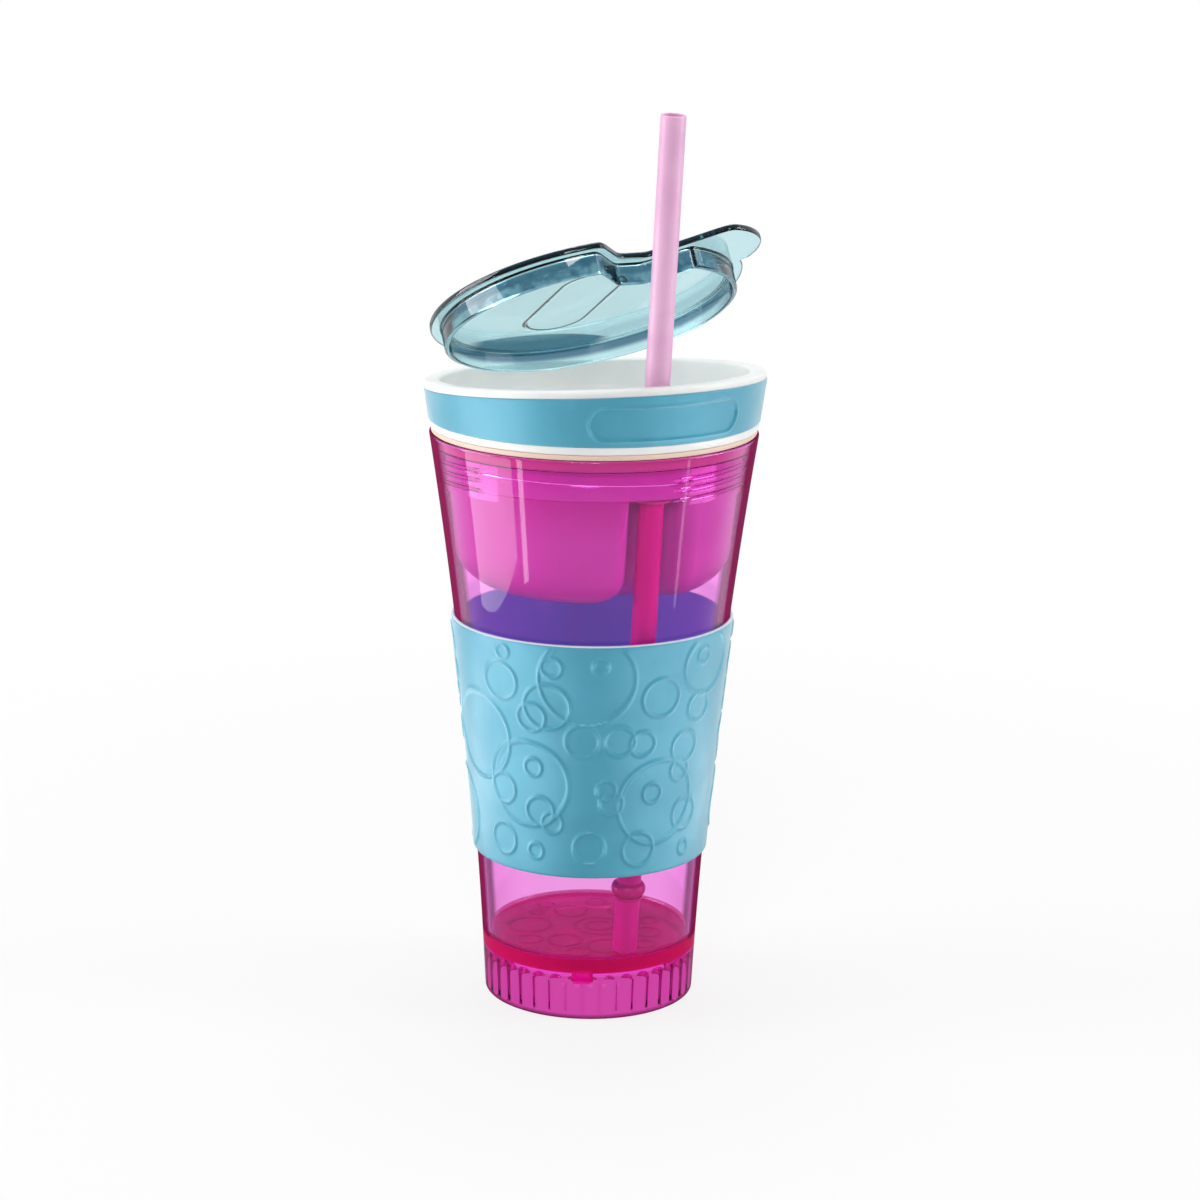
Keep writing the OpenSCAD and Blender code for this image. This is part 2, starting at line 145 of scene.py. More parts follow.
def soft_min(a, b, k):
    """The smaller of a and b, with the corner between them rounded over a width k."""
    h = np.clip(0.5 + 0.5 * (b - a) / k, 0, 1)
    return b * (1 - h) + a * h - k * h * (1 - h)


def soft_max(a, b, k):
    """The larger of a and b, rounded in the same way."""
    return -soft_min(-a, -b, k)


def smooth(x, low, high):
    """0 below low and 1 above high, with a smooth cubic between."""
    t = np.clip((x - low) / (high - low), 0, 1)
    return t * t * (3 - 2 * t)


def joined(x, y, z):
    """Points from their coordinates, each spread over the rows and columns of the others."""
    return np.stack(np.broadcast_arrays(x, y, z), axis=-1)


def around(r, z, turn):
    """Points at radius r and height z, turned from the front towards the right."""
    return joined(r * np.sin(turn), -r * np.cos(turn), z)


def tipped(points, angle):
    """Points turned about X, from Y towards Z."""
    c, s = cos(angle), sin(angle)
    x, y, z = points[..., 0], points[..., 1], points[..., 2]
    return joined(x, c * y - s * z, s * y + c * z)


def turns(count):
    """A row of evenly spaced turns."""
    return np.linspace(0, TAU, count, endpoint=False)[None, :]


def dense_turns(middle, half, near, far):
    """A row of turns, closer to one another within "half" of the middle than behind."""
    front = np.linspace(middle - half, middle + half, near)
    back = np.linspace(middle + half, middle + TAU - half, far)[1:-1]
    return np.concatenate([front, back])[None, :]


def column(values):
    """Values as a column, one for each row of a surface."""
    return np.asarray(values, float)[:, None]


def steps(first, last, count):
    """A column of evenly spaced values."""
    return column(np.linspace(first, last, count))


def columns(line):
    """The radii and the heights of a line's points, each as a column."""
    return column(line[:, 0]), column(line[:, 1])


def rounded(corners, closed=True, parts=5):
    """A line through corners (r, z, fillet), each one replaced by an arc of that fillet."""
    points = np.array([c[:2] for c in corners], float)
    out = []
    for i, (_, _, fillet) in enumerate(corners):
        at_end = not closed and i in (0, len(corners) - 1)
        if at_end or fillet == 0:
            out.append(points[i][None])
            continue
        a, b = points[i - 1] - points[i], points[(i + 1) % len(points)] - points[i]
        a, b = a / np.linalg.norm(a), b / np.linalg.norm(b)
        half = acos(np.clip(a @ b, -1, 1)) / 2
        mid = (a + b) / np.linalg.norm(a + b)
        centre = points[i] + mid * fillet / sin(half)
        first, last = (points[i] + v * fillet / tan(half) for v in (a, b))
        sweep = pi - 2 * half
        t = steps(0, 1, parts + 1)
        out.append(centre + (np.sin((1 - t) * sweep) * (first - centre)
                             + np.sin(t * sweep) * (last - centre)) / sin(sweep))
    return np.concatenate(out)


def revolve(profile, count=192):
    """The profile's points (r, z), each carried round the axis."""
    return around(*columns(profile), turns(count))


def straw_frame(points):
    """From the straw's own frame, foot at the origin and axis along Z, to the object's."""
    return tipped(points, STRAW_LEAN) + [0, -STRAW_FOOT[0], STRAW_FOOT[1]]


def straw_at(z):
    """How far forward the straw's axis is at height z."""
    return STRAW_FOOT[0] + (np.asarray(z, float) - STRAW_FOOT[1]) * tan(STRAW_LEAN)


def rim_height(points_y, below):
    """Height of the sloping plane that runs "below" under the rim, at places y."""
    return RIM_Z - below / cos(RIM_SLOPE) - points_y * tan(RIM_SLOPE)


def thread_climb(turn):
    """How far the thread has climbed at a turn, and how much of a ridge stands there.

    The ridges are in evenly spaced groups. Inside a group the climb is the lead times the
    turn from its middle, and between two groups it falls back evenly."""
    period, half = 360 / THREAD_GROUPS, THREAD_SPAN / 2
    away = (np.degrees(turn) - THREAD_TURN - half + period / 2) % period - period / 2
    far = np.abs(away)
    fall = np.sign(away) * half * (period / 2 - far) / (period / 2 - half)
    return THREAD_LEAD / 360 * np.where(far <= half, away, fall), smooth(half - far, 0, 12)


def thread_rows(low, high, ramp, turn, count, height):
    """Heights and relief of a threaded strip. Its rows climb with the ridges, and lie level
    at its two ends, so that a ridge follows a row and has clean edges."""
    rise, stands = thread_climb(turn)
    level = column(np.arange(low, high + 0.01, 0.15))
    share = np.clip(np.minimum((level - low) / ramp, (high - level) / ramp), 0, 1)
    relief = np.zeros_like(level)
    for k in range(count):
        ridge_z = RIDGE_Z + (k - (count - 1) / 2) * THREAD_LEAD / THREAD_GROUPS
        relief = np.maximum(relief, smooth(RIDGE_W / 2 + 0.2 - np.abs(level - ridge_z), 0, 0.4))
    return level + rise * share, relief * stands * height, level


def bay_outline(radius, centre, half, lip, counts=(130, 12, 5, 14)):
    """Closed outlines, one a row: a circle with a bay for the straw in its front.

    The bay has a round back of radius half, whose centre is "centre" forward, two straight
    sides, and lips of radius lip that touch the circle inside and the bay outside. As the
    circle shrinks, the sides and then the back run out, and the plain circle is left.
    """
    r, c, w, f = np.broadcast_arrays(*(np.atleast_2d(v).astype(float)
                                       for v in (radius, centre, half, lip)))
    by_back = (c * c - (w + f) ** 2 + (r - f) ** 2) / (2 * c)
    by_side = np.sqrt(np.maximum((r - f) ** 2 - (w + f) ** 2, 0))
    straight = by_back > c
    lip_f = np.minimum(np.where(straight, by_side, by_back), r - f)
    lip_x = np.sqrt(np.maximum((r - f) ** 2 - lip_f ** 2, 0))
    gone = r <= c - w
    lip_f, lip_x = np.where(gone, r - f, lip_f), np.where(gone, 0, lip_x)
    first = np.arctan2(lip_x, lip_f)
    last = np.where(straight, -pi / 2, np.arctan2(-lip_x, np.maximum(c - lip_f, 1e-9)))
    end = np.where(straight, pi / 2, np.arctan2(lip_x, np.maximum(c - lip_f, 1e-9)))
    step = [np.linspace(0, 1, n)[None, :] for n in counts]
    main = pi + (first - pi) * step[0]
    bend = first + (last - first) * step[1][:, 1:]
    back = end * (1 - step[3])
    x_back = np.where(gone, 0, w * np.sin(back))
    f_back = np.where(gone, r, c - w * np.cos(back))
    x_lip, f_lip = lip_x + f * np.sin(bend), lip_f + f * np.cos(bend)
    side = step[2][:, 1:-1]
    x_side = x_lip[:, -1:] + (x_back[:, :1] - x_lip[:, -1:]) * side
    f_side = f_lip[:, -1:] + (f_back[:, :1] - f_lip[:, -1:]) * side
    x = np.concatenate([r * np.sin(main), x_lip, x_side, x_back], axis=1)
    forward = np.concatenate([r * np.cos(main), f_lip, f_side, f_back], axis=1)
    return (np.concatenate([x, -x[:, -2:0:-1]], axis=1),
            -np.concatenate([forward, forward[:, -2:0:-1]], axis=1))


def plain_outline(radius, first, counts=(130, 12, 5, 14)):
    """Plain circles with as many columns as bay_outline, whose main arc ends at turn first."""
    rest = sum(counts[1:]) - 3
    turn = np.concatenate([np.linspace(pi, first, counts[0]),
                           np.linspace(first, 0, rest + 1)[1:]])
    turn = np.concatenate([turn, -turn[-2:0:-1]])[None, :]
    r = np.atleast_2d(radius)
    return r * np.sin(turn), -r * np.cos(turn)


# --- meshes
def skin_faces(points, loop_rows):
    """Quads between neighbouring points of a grid that closes on itself along each row."""
    rows, cols = points.shape[:2]
    index = np.arange(rows * cols).reshape(rows, cols)
    across = np.roll(index, -1, axis=1)
    above = np.roll(index, -1, axis=0)
    above_across = np.roll(across, -1, axis=0)
    faces = np.stack([index, across, above_across, above], axis=-1)
    return (faces if loop_rows else faces[:-1]).reshape(-1, 4)


def signed_volume(points, faces):
    """Six times the volume that the faces enclose, negative where they point inwards."""
    a, b, c, d = (points[faces[:, i]] for i in range(4))
    return float(np.sum(a * np.cross(b, c)) + np.sum(a * np.cross(c, d)))


def make_piece(name, skins, body, node, material, loop=True):
    """One object from skins, which are grids of points whose rows close on themselves. With
    loop, the last row joins the first; else a skin starts and ends in rows that are all but
    points."""
    all_points, all_faces, start = [], [], 0
    for grid in skins:
        points, faces = grid.reshape(-1, 3) * MM, skin_faces(grid, loop)
        if signed_volume(points, faces) < 0:
            faces = faces[:, ::-1]
        all_points.append(points)
        all_faces.append(faces + start)
        start += len(points)
    mesh = bpy.data.meshes.new(name)
    mesh.from_pydata(np.concatenate(all_points), [], np.concatenate(all_faces).tolist())
    work = bmesh.new()
    work.from_mesh(mesh)
    bmesh.ops.remove_doubles(work, verts=work.verts, dist=1e-6)
    bmesh.ops.dissolve_degenerate(work, edges=work.edges, dist=1e-7)
    work.to_mesh(mesh)
    work.free()
    mesh.shade_smooth()
    mesh.set_sharp_from_angle(angle=radians(40))
    piece = bpy.data.objects.new(name, mesh)
    bpy.context.scene.collection.objects.link(piece)
    mesh.materials.append(material)
    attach(piece, body)
    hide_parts(node)


# --- shader maths
class Value:
    """A socket of a material's node tree that takes part in Python arithmetic."""

    def __init__(self, tree, socket):
        self.tree, self.socket = tree, socket

    def maths(self, operation, *others):
        """A Math node on this value and the others."""
        values = [self] + list(others)
        return self.tree.add("ShaderNodeMath", {"operation": operation},
                             dict(enumerate(values)))

    __add__ = __radd__ = partialmethod(maths, "ADD")
    __sub__ = partialmethod(maths, "SUBTRACT")
    __mul__ = __rmul__ = partialmethod(maths, "MULTIPLY")
    __truediv__ = partialmethod(maths, "DIVIDE")
    __pow__ = partialmethod(maths, "POWER")
    most = partialmethod(maths, "MAXIMUM")
    size = partialmethod(maths, "ABSOLUTE")

    def __rsub__(self, other):
        return (self * -1.0) + other

    def above(self, low, high):
        """0 below low and 1 above high, smooth between."""
        return self.tree.add("ShaderNodeMapRange", {"interpolation_type": "SMOOTHSTEP"},
                             {"Value": self, "From Min": low, "From Max": high})

    def below(self, low, high):
        """1 below low and 0 above high, smooth between."""
        return 1.0 - self.above(low, high)


def reach(x, y):
    """How far from the origin x and y are."""
    return (x * x + y * y) ** 0.5


class Tree:
    """A material or world under construction."""

    def __init__(self, owner):
        owner.use_nodes = True
        self.tree = owner.node_tree
        self.tree.nodes.clear()

    def add(self, kind, settings=None, inputs=None, output=0):
        """Any node: its settings first, then values or links for its sockets."""
        node = self.tree.nodes.new(kind)
        for key, value in (settings or {}).items():
            setattr(node, key, value)
        for key, value in (inputs or {}).items():
            socket = node.inputs[key]
            if isinstance(value, Value):
                self.tree.links.new(value.socket, socket)
            elif isinstance(value, tuple) and len(value) == 3 and socket.type == "RGBA":
                socket.default_value = (*value, 1)
            else:
                socket.default_value = value
        return Value(self, node.outputs[output])

    def mix(self, share, a, b):
        """Colour a where share is 0, and b where it is 1."""
        return self.add("ShaderNodeMix", {"data_type": "RGBA"}, {0: share, 6: a, 7: b}, 2)

    def blend(self, share, a, b):
        """Shader a where share is 0, and b where it is 1."""
        return self.add("ShaderNodeMixShader", inputs={0: share, 1: a, 2: b})

    def bsdf(self, kind, inputs):
        """A shader of a surface."""
        return self.add("ShaderNodeBsdf" + kind, inputs=inputs)

    def glow(self, strength, kind="Emission"):
        """A white light of its own."""
        return self.add("ShaderNode" + kind, inputs={"Color": (1.0, 1.0, 1.0),
                                                     "Strength": strength})

    def rays(self, *kinds):
        """1 for a ray of any of these kinds, and 0 for others."""
        total = None
        for kind in kinds:
            one = self.add("ShaderNodeLightPath", output=f"Is {kind} Ray")
            total = total.most(one) if total else one
        return total

    def film(self, surface, share, colour):
        """The surface, which lets lamps' light through by this share, tinted."""
        lamp = self.rays("Shadow", "Diffuse")
        return self.blend(lamp * share if share < 1 else lamp, surface,
                          self.bsdf("Transparent", {"Color": colour}))

    def place(self, output=3):
        """Where on the object a point is, as x, y and z in metres, or with output 0 in a world
        the way that a ray goes."""
        spot = self.add("ShaderNodeTexCoord", output=output)
        split = self.add("ShaderNodeSeparateXYZ", inputs={0: spot})
        return spot, [Value(self, s) for s in split.socket.node.outputs]

    def noise(self, scale, detail, spot):
        """Cloudy noise, from 0 to 1, with features about 1/scale metres wide."""
        return self.add("ShaderNodeTexNoise", inputs={"Vector": spot, "Scale": scale,
                                                      "Detail": detail, "Roughness": 0.5})

    def bump(self, height, distance):
        """The normal of a surface whose relief is height times distance, in metres."""
        return self.add("ShaderNodeBump", inputs={"Height": height, "Distance": distance,
                                                  "Strength": 1.0})

    def finish(self, surface, volume=None, kind="Material"):
        """Joins a shader, and a volume if there is one, to the output."""
        out = self.tree.nodes.new("ShaderNodeOutput" + kind)
        self.tree.links.new(surface.socket, out.inputs["Surface"])
        if volume is not None:
            self.tree.links.new(volume.socket, out.inputs["Volume"])


def clear_material(name, absorb, film, edge, depth, edge_from, tint, solid=None, clear_at=None):
    """Clear dyed plastic: glass with absorption, which lamps pass as a tinted film.

    absorb is what a thickness of depth, in metres, lets through, as a colour. film is what
    each face lets through to light that falls on what is inside. Where the surface turns away,
    from the share edge_from on, the long way through the wall shows as the colour edge. tint
    gives the glass its colour over the surface, and solid a mask and a shader of its own for
    places where the dye is too deep to see through. clear_at is 1 at heights that have no
    such edge, as where flutes break the long way."""
    material = bpy.data.materials.new(name)
    t = Tree(material)
    spot, (x, y, z) = t.place()
    wear = t.noise(140.0, 3.0, spot)
    surface = t.bsdf("Principled", {
        "Base Color": tint(t, x, y, z, spot), "Roughness": wear.above(0.45, 0.75) * 0.05 + 0.02,
        "IOR": 1.49, "Transmission Weight": 1.0, "Specular IOR Level": 0.5})
    if solid:
        mask, shader = solid(t, x, y, z, spot)
        surface = t.blend(mask, surface, shader)
    away = t.add("ShaderNodeLayerWeight", {}, {"Blend": 0.5}, 1).above(*edge_from)
    if clear_at:
        away = away * (1.0 - clear_at(z))
    deep = t.bsdf("Principled", {"Base Color": edge, "Roughness": 0.4, "Specular IOR Level": 0.0})
    surface = t.film(t.blend(away * 0.97, surface, deep), 1, film)
    strongest = max(-log(c) for c in absorb)
    colour = tuple(1 + log(c) / strongest for c in absorb)
    t.finish(surface, t.add("ShaderNodeVolumeAbsorption", {}, {
        "Color": colour, "Density": strongest / depth}))
    return material


def plastic_material(name, colour, deep, rough, grain, sheen=0.0, inside=None, film=None,
                     painted_light=None, rim=None):
    """Moulded plastic or rubber: a faint cloudiness of colour, and a fine matt grain.

    sheen is the soft shine of rubber where it turns away. inside is a colour and a mask for
    faces that look inwards. That lighter colour is a painted glow of light that comes through
    the rubber, and it also tints a real translucent shader there. film is what the plastic
    lets through of the light that falls on what is behind it. steeped is a colour and a mask for
    painted light and shade on a surface that is seen through clear dyed plastic: a deeper colour
    for the dimmer, dye-tinted light there, which only rays through clear plastic see. rim is a
    colour and a mask for a painted highlight on an upper edge."""
    material = bpy.data.materials.new(name)
    t = Tree(material)
    spot, _ = t.place()
    cloud = t.noise(60.0, 3.0, spot)
    fine = t.noise(2600.0, 2.0, spot)
    shade = t.mix(cloud.above(0.3, 0.7), colour, deep)
    # Painted light as colour: a glow on inward faces, and a highlight on the upper edge.
    for mark in (inside, rim):
        if mark:
            shade = t.mix(mark[1](t), shade, mark[0])
    # Painted light and shade, seen only by rays that come through clear plastic.
    if painted_light:
        shade = t.mix(t.rays("Transmission") * painted_light[1](t), shade, painted_light[0])
    settings = {"Base Color": shade, "Roughness": cloud.above(0.35, 0.7) * 0.08 + rough,
                "Normal": t.bump(fine, grain), "Specular IOR Level": 0.45}
    if sheen:
        settings.update({"Sheen Weight": sheen, "Sheen Roughness": 0.35,
                         "Sheen Tint": (0.85, 0.97, 1.0, 1.0)})
    surface = t.bsdf("Principled", settings)
    if inside:
        glow = t.bsdf("Translucent", {"Color": inside[0]})
        surface = t.blend(inside[1](t) * 0.4, surface, glow)
    if film:
        surface = t.film(surface, 0.6, film)
    t.finish(surface)
    return material


# --- where a colour lies, 1 inside and 0 outside
def sleeve_inside(t):
    """The sleeve's inner face, which lies on the cup's flared wall, where a lighter colour is
    painted as a glow of light that comes through the rubber.
    """
    _, (x, y, z) = t.place()
    height = z * (1000.0 / CUP_H)
    wall = (height * height * (1 - CUP_EVEN) + height * CUP_EVEN) \
        * (CUP_RIM_R - CUP_BASE_R) + CUP_BASE_R
    return (reach(x, y) * 1000.0 - wall).below(0.2, 0.5)


def sleeve_rim_highlight(t):
    """The sleeve's upper edge, where a highlight is painted."""
    return t.place()[1][2].above(SLEEVE_TOP * MM - 0.0005, SLEEVE_TOP * MM - 0.0002)


def collar_painted_shade(t):
    """Painted shade on the tray's outside, which only shows through the cup: under the thread,
    on the side that faces the camera, and along the skirt's lower edge.
    """
    _, (x, y, z) = t.place()
    far = reach(x, y)
    front = (x * sin(VIEW_TURN) - y * cos(VIEW_TURN)) / far
    low = z.above(*COLLAR_LOW) * z.below(*COLLAR_TOP) * front.above(0.75, 0.95)
    line = (z - SKIRT_Z * MM).size().below(0.0001, 0.0004)
    return (low * 0.75).most(line) * far.above(*COLLAR_REACH)


def straw_in_cup(t):
    """The part of the straw that is in the cup at rest, where its colour is painted deeper for the
    dim, dye-tinted light there.
    """
    return t.place()[1][2].below(*STRAW_IN_CUP)


# --- the pieces' surfaces
def rings_relief(x, y, rings, width):
    """Relief of raised round lines: each is 1 at its ring's radius and dies off within width."""
    out = np.zeros(np.broadcast(x, y).shape)
    for cx, cy, radius in rings:
        out = np.maximum(out, np.exp(-((np.hypot(x - cx, y - cy) - radius) / width) ** 2))
    return out


def pill(x, y, half_length, half_height):
    """Distance outwards from the edge of a pill shape that lies along x."""
    return np.hypot(np.maximum(np.abs(x) - (half_length - half_height), 0), y) - half_height


def cup_skin(flutes, rib, emboss):
    """The cup as one surface, from under the floor, down the fluted skirt, up the outside,
    over the rim and down the inside to the floor. Flutes, key, ridges and rings are relief."""
    turn = turns(360)
    under = FLOOR_H - FLOOR_T
    rows = []

    def add(r, z):
        rows.append(around(r, z, turn))

    def skirt(z):
        """The skirt's inner radius at height z. Flutes are scoops of half-round section with
        round tops, between ribs that stand inwards, as the key block does."""
        wall = cup_r(z) - CUP_WALL
        phase = (turn * flutes / TAU) % 1 - 0.5
        arch = np.clip((z - (under - FLUTE_TOP)) / FLUTE_ARCH, 0, 2)
        scoop = np.clip(1 - (2 * phase) ** 2 - arch ** 2, 0, 1) ** 0.8
        scoop = np.maximum(scoop, 1 - smooth(z, 0.6, 1.6))
        arc = ((turn - KEY_TURN + pi) % TAU - pi) * wall
        key = smooth(KEY_HALF - np.abs(arc), -0.3, 0.3) * smooth(z - (under - KEY_H), -0.2, 0.2)
        return wall - rib * (1 - scoop) - key * KEY_DEPTH

    z = column([under] * 6)
    add(steps(0, 1, 6) * (skirt(z) - 0.5), z)
    z = column(np.concatenate([under - np.array([0.15, 0.5]), np.linspace(under - 0.9, 0.8, 30)]))
    add(skirt(z), z)
    foot = rounded([(CUP_BASE_R - CUP_WALL, 0.7, 0), (CUP_BASE_R - CUP_WALL, 0, 0.4),
                    (CUP_BASE_R, 0, 0.7), (CUP_BASE_R, 1.2, 0)], closed=False)
    add(*columns(foot))
    z = steps(2.0, CUP_H - 1.0, 34)
    add(cup_r(z), z)
    rim = rounded([(cup_r(CUP_H - 0.9), CUP_H - 0.9, 0), (CUP_RIM_R, CUP_H, 0.5),
                   (MOUTH_R, CUP_H, 0.4), (MOUTH_R, LAND_TOP, 0.2), (LAND_R, LAND_TOP, 0.2),
                   (LAND_R, LAND_TOP - 0.5, 0)], closed=False)
    add(*columns(rim))
    z, ridge, level = thread_rows(LAND_Z, LAND_TOP - 0.6, 1.25, turn, 3, 0.75)
    line = 0.35 * np.exp(-((level - LINE_Z) / 0.22) ** 2) * (1 - thread_climb(turn)[1])
    add((LAND_R - np.maximum(ridge, line))[::-1], z[::-1])
    z = steps(LAND_Z - 0.5, FLOOR_H + 2.0, 28)
    add(cup_r(z) - CUP_WALL, z)
    corner = rounded([(cup_r(FLOOR_H + 1.9) - CUP_WALL, FLOOR_H + 1.9, 0),
                      (cup_r(FLOOR_H) - CUP_WALL, FLOOR_H, 1.2),
                      (cup_r(FLOOR_H) - CUP_WALL - 1.5, FLOOR_H, 0)], closed=False)
    add(*columns(corner))
    r = steps(cup_r(FLOOR_H) - CUP_WALL - 1.8, 0, 58)
    x, y = r * np.sin(turn), r * np.cos(turn)
    rings = [(3.0, 1.0, 7.5), (-12.0, 8.0, 5.0), (14.0, 12.0, 4.0), (-3.0, 18.0, 6.0),
             (-16.0, -9.0, 6.5), (1.0, -15.0, 5.0), (16.0, -8.0, 4.5), (19.0, 3.0, 3.0),
             (-21.0, 3.0, 3.5), (8.0, 21.0, 3.0), (-13.0, 19.0, 3.5), (-4.0, -23.0, 2.5),
             (12.0, -19.0, 3.0), (-9.0, -18.0, 2.0), (3.0, 1.0, 4.0)]
    lines = rings_relief(x, y, rings, 0.5) * (1 - smooth(r, 25.0, 27.5))
    add(r, FLOOR_H + emboss * lines)
    return np.concatenate(rows)


def ring_section(outer_r, z0, z1, inner_r, edge, turn, relief, rows):
    """A ring with a round-edged section. outer_r and inner_r are functions of height, z0 and
    z1 are its ends, which may change with the turn, and relief(turn, z) stands out."""
    ease = edge * (1 - np.cos(np.linspace(0, pi / 2, 5)))
    up = [z0 + column(ease) * np.ones_like(turn)]
    share = steps(0, 1, rows)[1:-1]
    up.append(z0 + edge + (z1 - z0 - 2 * edge) * share)
    up.append(z1 - column(ease[::-1]) * np.ones_like(turn))
    z = np.concatenate([np.broadcast_to(u, (u.shape[0], turn.shape[1])) for u in up])
    low, high = np.minimum(z - z0, edge), np.minimum(z1 - z, edge)
    gone = (edge - np.sqrt(np.maximum(edge ** 2 - (edge - low) ** 2, 0))
            + edge - np.sqrt(np.maximum(edge ** 2 - (edge - high) ** 2, 0)))
    outside = around(outer_r(z) - gone + relief(turn, z), z, turn)
    back = steps(1, 0, 12)
    z_in = z0 + (z1 - z0) * back
    inside = around(inner_r(z_in), z_in, turn)
    return np.concatenate([outside, inside])


def sleeve_rings():
    """The raised rings as (x, height, radius), x being the arc to the right of the front.

    The first are placed by their pixels in the photograph, on the side that it shows, and
    the rest are strewn over the side that it doesn't."""
    seen = [(587, 682, 13.6), (551, 668, 2.9), (601, 667, 2.1), (531, 717, 4.2),
            (500, 680, 5.6), (502, 651, 2.1), (546, 707, 6.8), (480, 732, 13.4),
            (527, 783, 13.2), (533, 767, 2.7), (540, 811, 4.4), (504, 787, 4.6),
            (582, 742, 4.9), (620, 742, 4.5), (643, 744, 3.8), (662, 698, 5.8),
            (708, 662, 9.6), (704, 655, 2.4), (684, 746, 4.8), (657, 802, 13.0),
            (652, 793, 3.0), (679, 769, 3.4), (683, 812, 5.0), (606, 791, 3.0),
            (611, 804, 3.6), (505, 837, 4.8), (536, 850, 2.4), (552, 823, 3.2),
            (589, 849, 4.9), (638, 849, 5.2), (682, 846, 2.1), (698, 706, 4.4)]
    place, right, up, ahead = view_axes()
    spots = np.array([(px, py) for px, py, _ in seen], float)
    side = (spots[:, :1] - VIEW_PX / 2) / VIEW_FOCAL_PX
    over = (VIEW_PX / 2 - spots[:, 1:]) / VIEW_FOCAL_PX
    rays = ahead + side * right + over * up
    radius = np.full(len(seen), 38.0)
    for _ in range(8):
        a = rays[:, 0] ** 2 + rays[:, 1] ** 2
        b = place[0] * rays[:, 0] + place[1] * rays[:, 1]
        c = place[0] ** 2 + place[1] ** 2 - radius ** 2
        far = (-b - np.sqrt(np.maximum(b * b - a * c, 0))) / a
        hit = place + rays * far[:, None]
        radius = cup_r(hit[:, 2]) + SLEEVE_T
    turn = np.arctan2(hit[:, 0], -hit[:, 1])
    width = RING_FLAT_R * TAU
    rings = [(float(t * RING_FLAT_R) % width, float(h), s[2])
             for t, h, s in zip(turn, hit[:, 2], seen)]
    rng, hidden = np.random.default_rng(11), radians(84)
    for _ in range(700):
        size = float(rng.choice([12.5, 7.0, 5.0, 5.0, 3.4, 3.4, 2.2, 2.2]))
        x = RING_FLAT_R * (VIEW_TURN + rng.uniform(hidden, TAU - hidden)) % width
        h = rng.uniform(SLEEVE_Z + 4, SLEEVE_TOP - 4)
        apart = [min(abs(x - r[0]), width - abs(x - r[0])) for r in rings]
        if all(hypot(d, h - r[1]) > 0.93 * (size + r[2]) for d, r in zip(apart, rings)):
            rings.append((x, h, size))
    return rings, width


def sleeve_skin(line_h, line_w):
    """The sleeve, whose raised lines are rings, each big one with a crescent inside it."""
    turn = dense_turns(VIEW_TURN, radians(95), 410, 192)
    rings, width = sleeve_rings()

    def relief(turn, z):
        """A bell curve across each ring's line, and across an arc of a smaller circle inside a
        big ring, which fades out towards the sleeve's two edges."""
        x = (turn / TAU * width) % width
        out = np.zeros(np.broadcast(x, z).shape)
        for cx, cz, radius in rings:
            dx = (x - cx + width / 2) % width - width / 2
            d = np.hypot(dx, z - cz)
            out = np.maximum(out, np.exp(-((d - radius) / line_w) ** 2))
            if radius > 9:
                inner = np.hypot(dx - 0.07 * radius, z - cz - 0.05 * radius)
                out = np.maximum(out, 0.9 * smooth(d, 0.86 * radius, 0.95 * radius)
                                 * np.exp(-((inner - 0.93 * radius) / line_w) ** 2))
        return line_h * out * smooth(np.minimum(SLEEVE_TOP - z, z - SLEEVE_Z), 0.9, 2.0)

    return ring_section(lambda z: cup_r(z) + SLEEVE_T, SLEEVE_Z, SLEEVE_TOP,
                        lambda z: cup_r(z) + 0.04, 0.8, turn, relief, 140)


def band_skin(depth):
    """The coloured band, a cone between the plain ring and the sloping lip, with a bare
    pill-shaped panel sunk into its front."""
    turn = dense_turns(0, radians(34), 240, 200)
    grow = (RIM_R - BAND_LOW_R) / (RIM_Z - LIP_H - RING_TOP)
    lift = np.cos(turn) * tan(RIM_SLOPE)
    top = ((RIM_Z - LIP_H / cos(RIM_SLOPE) + lift * (BAND_LOW_R - grow * RING_TOP))
           / (1 - lift * grow))

    def relief(turn, z):
        """Sunk by depth inside the pill, with a soft line standing out round it."""
        arc = ((turn + pi) % TAU - pi) * PANEL_R
        d = pill(arc, z - PANEL_Z, *PANEL_HALF)
        return 0.35 * depth * np.exp(-((d - 0.3) / 0.3) ** 2) - depth * smooth(-d, -0.15, 0.35)

    def outside(z):
        """A radius that grows evenly with height."""
        return BAND_LOW_R + grow * (z - RING_TOP)

    return ring_section(outside, RING_TOP, top, lambda z: outside(z) - BAND_T, 0.3, turn, relief,
                        52)


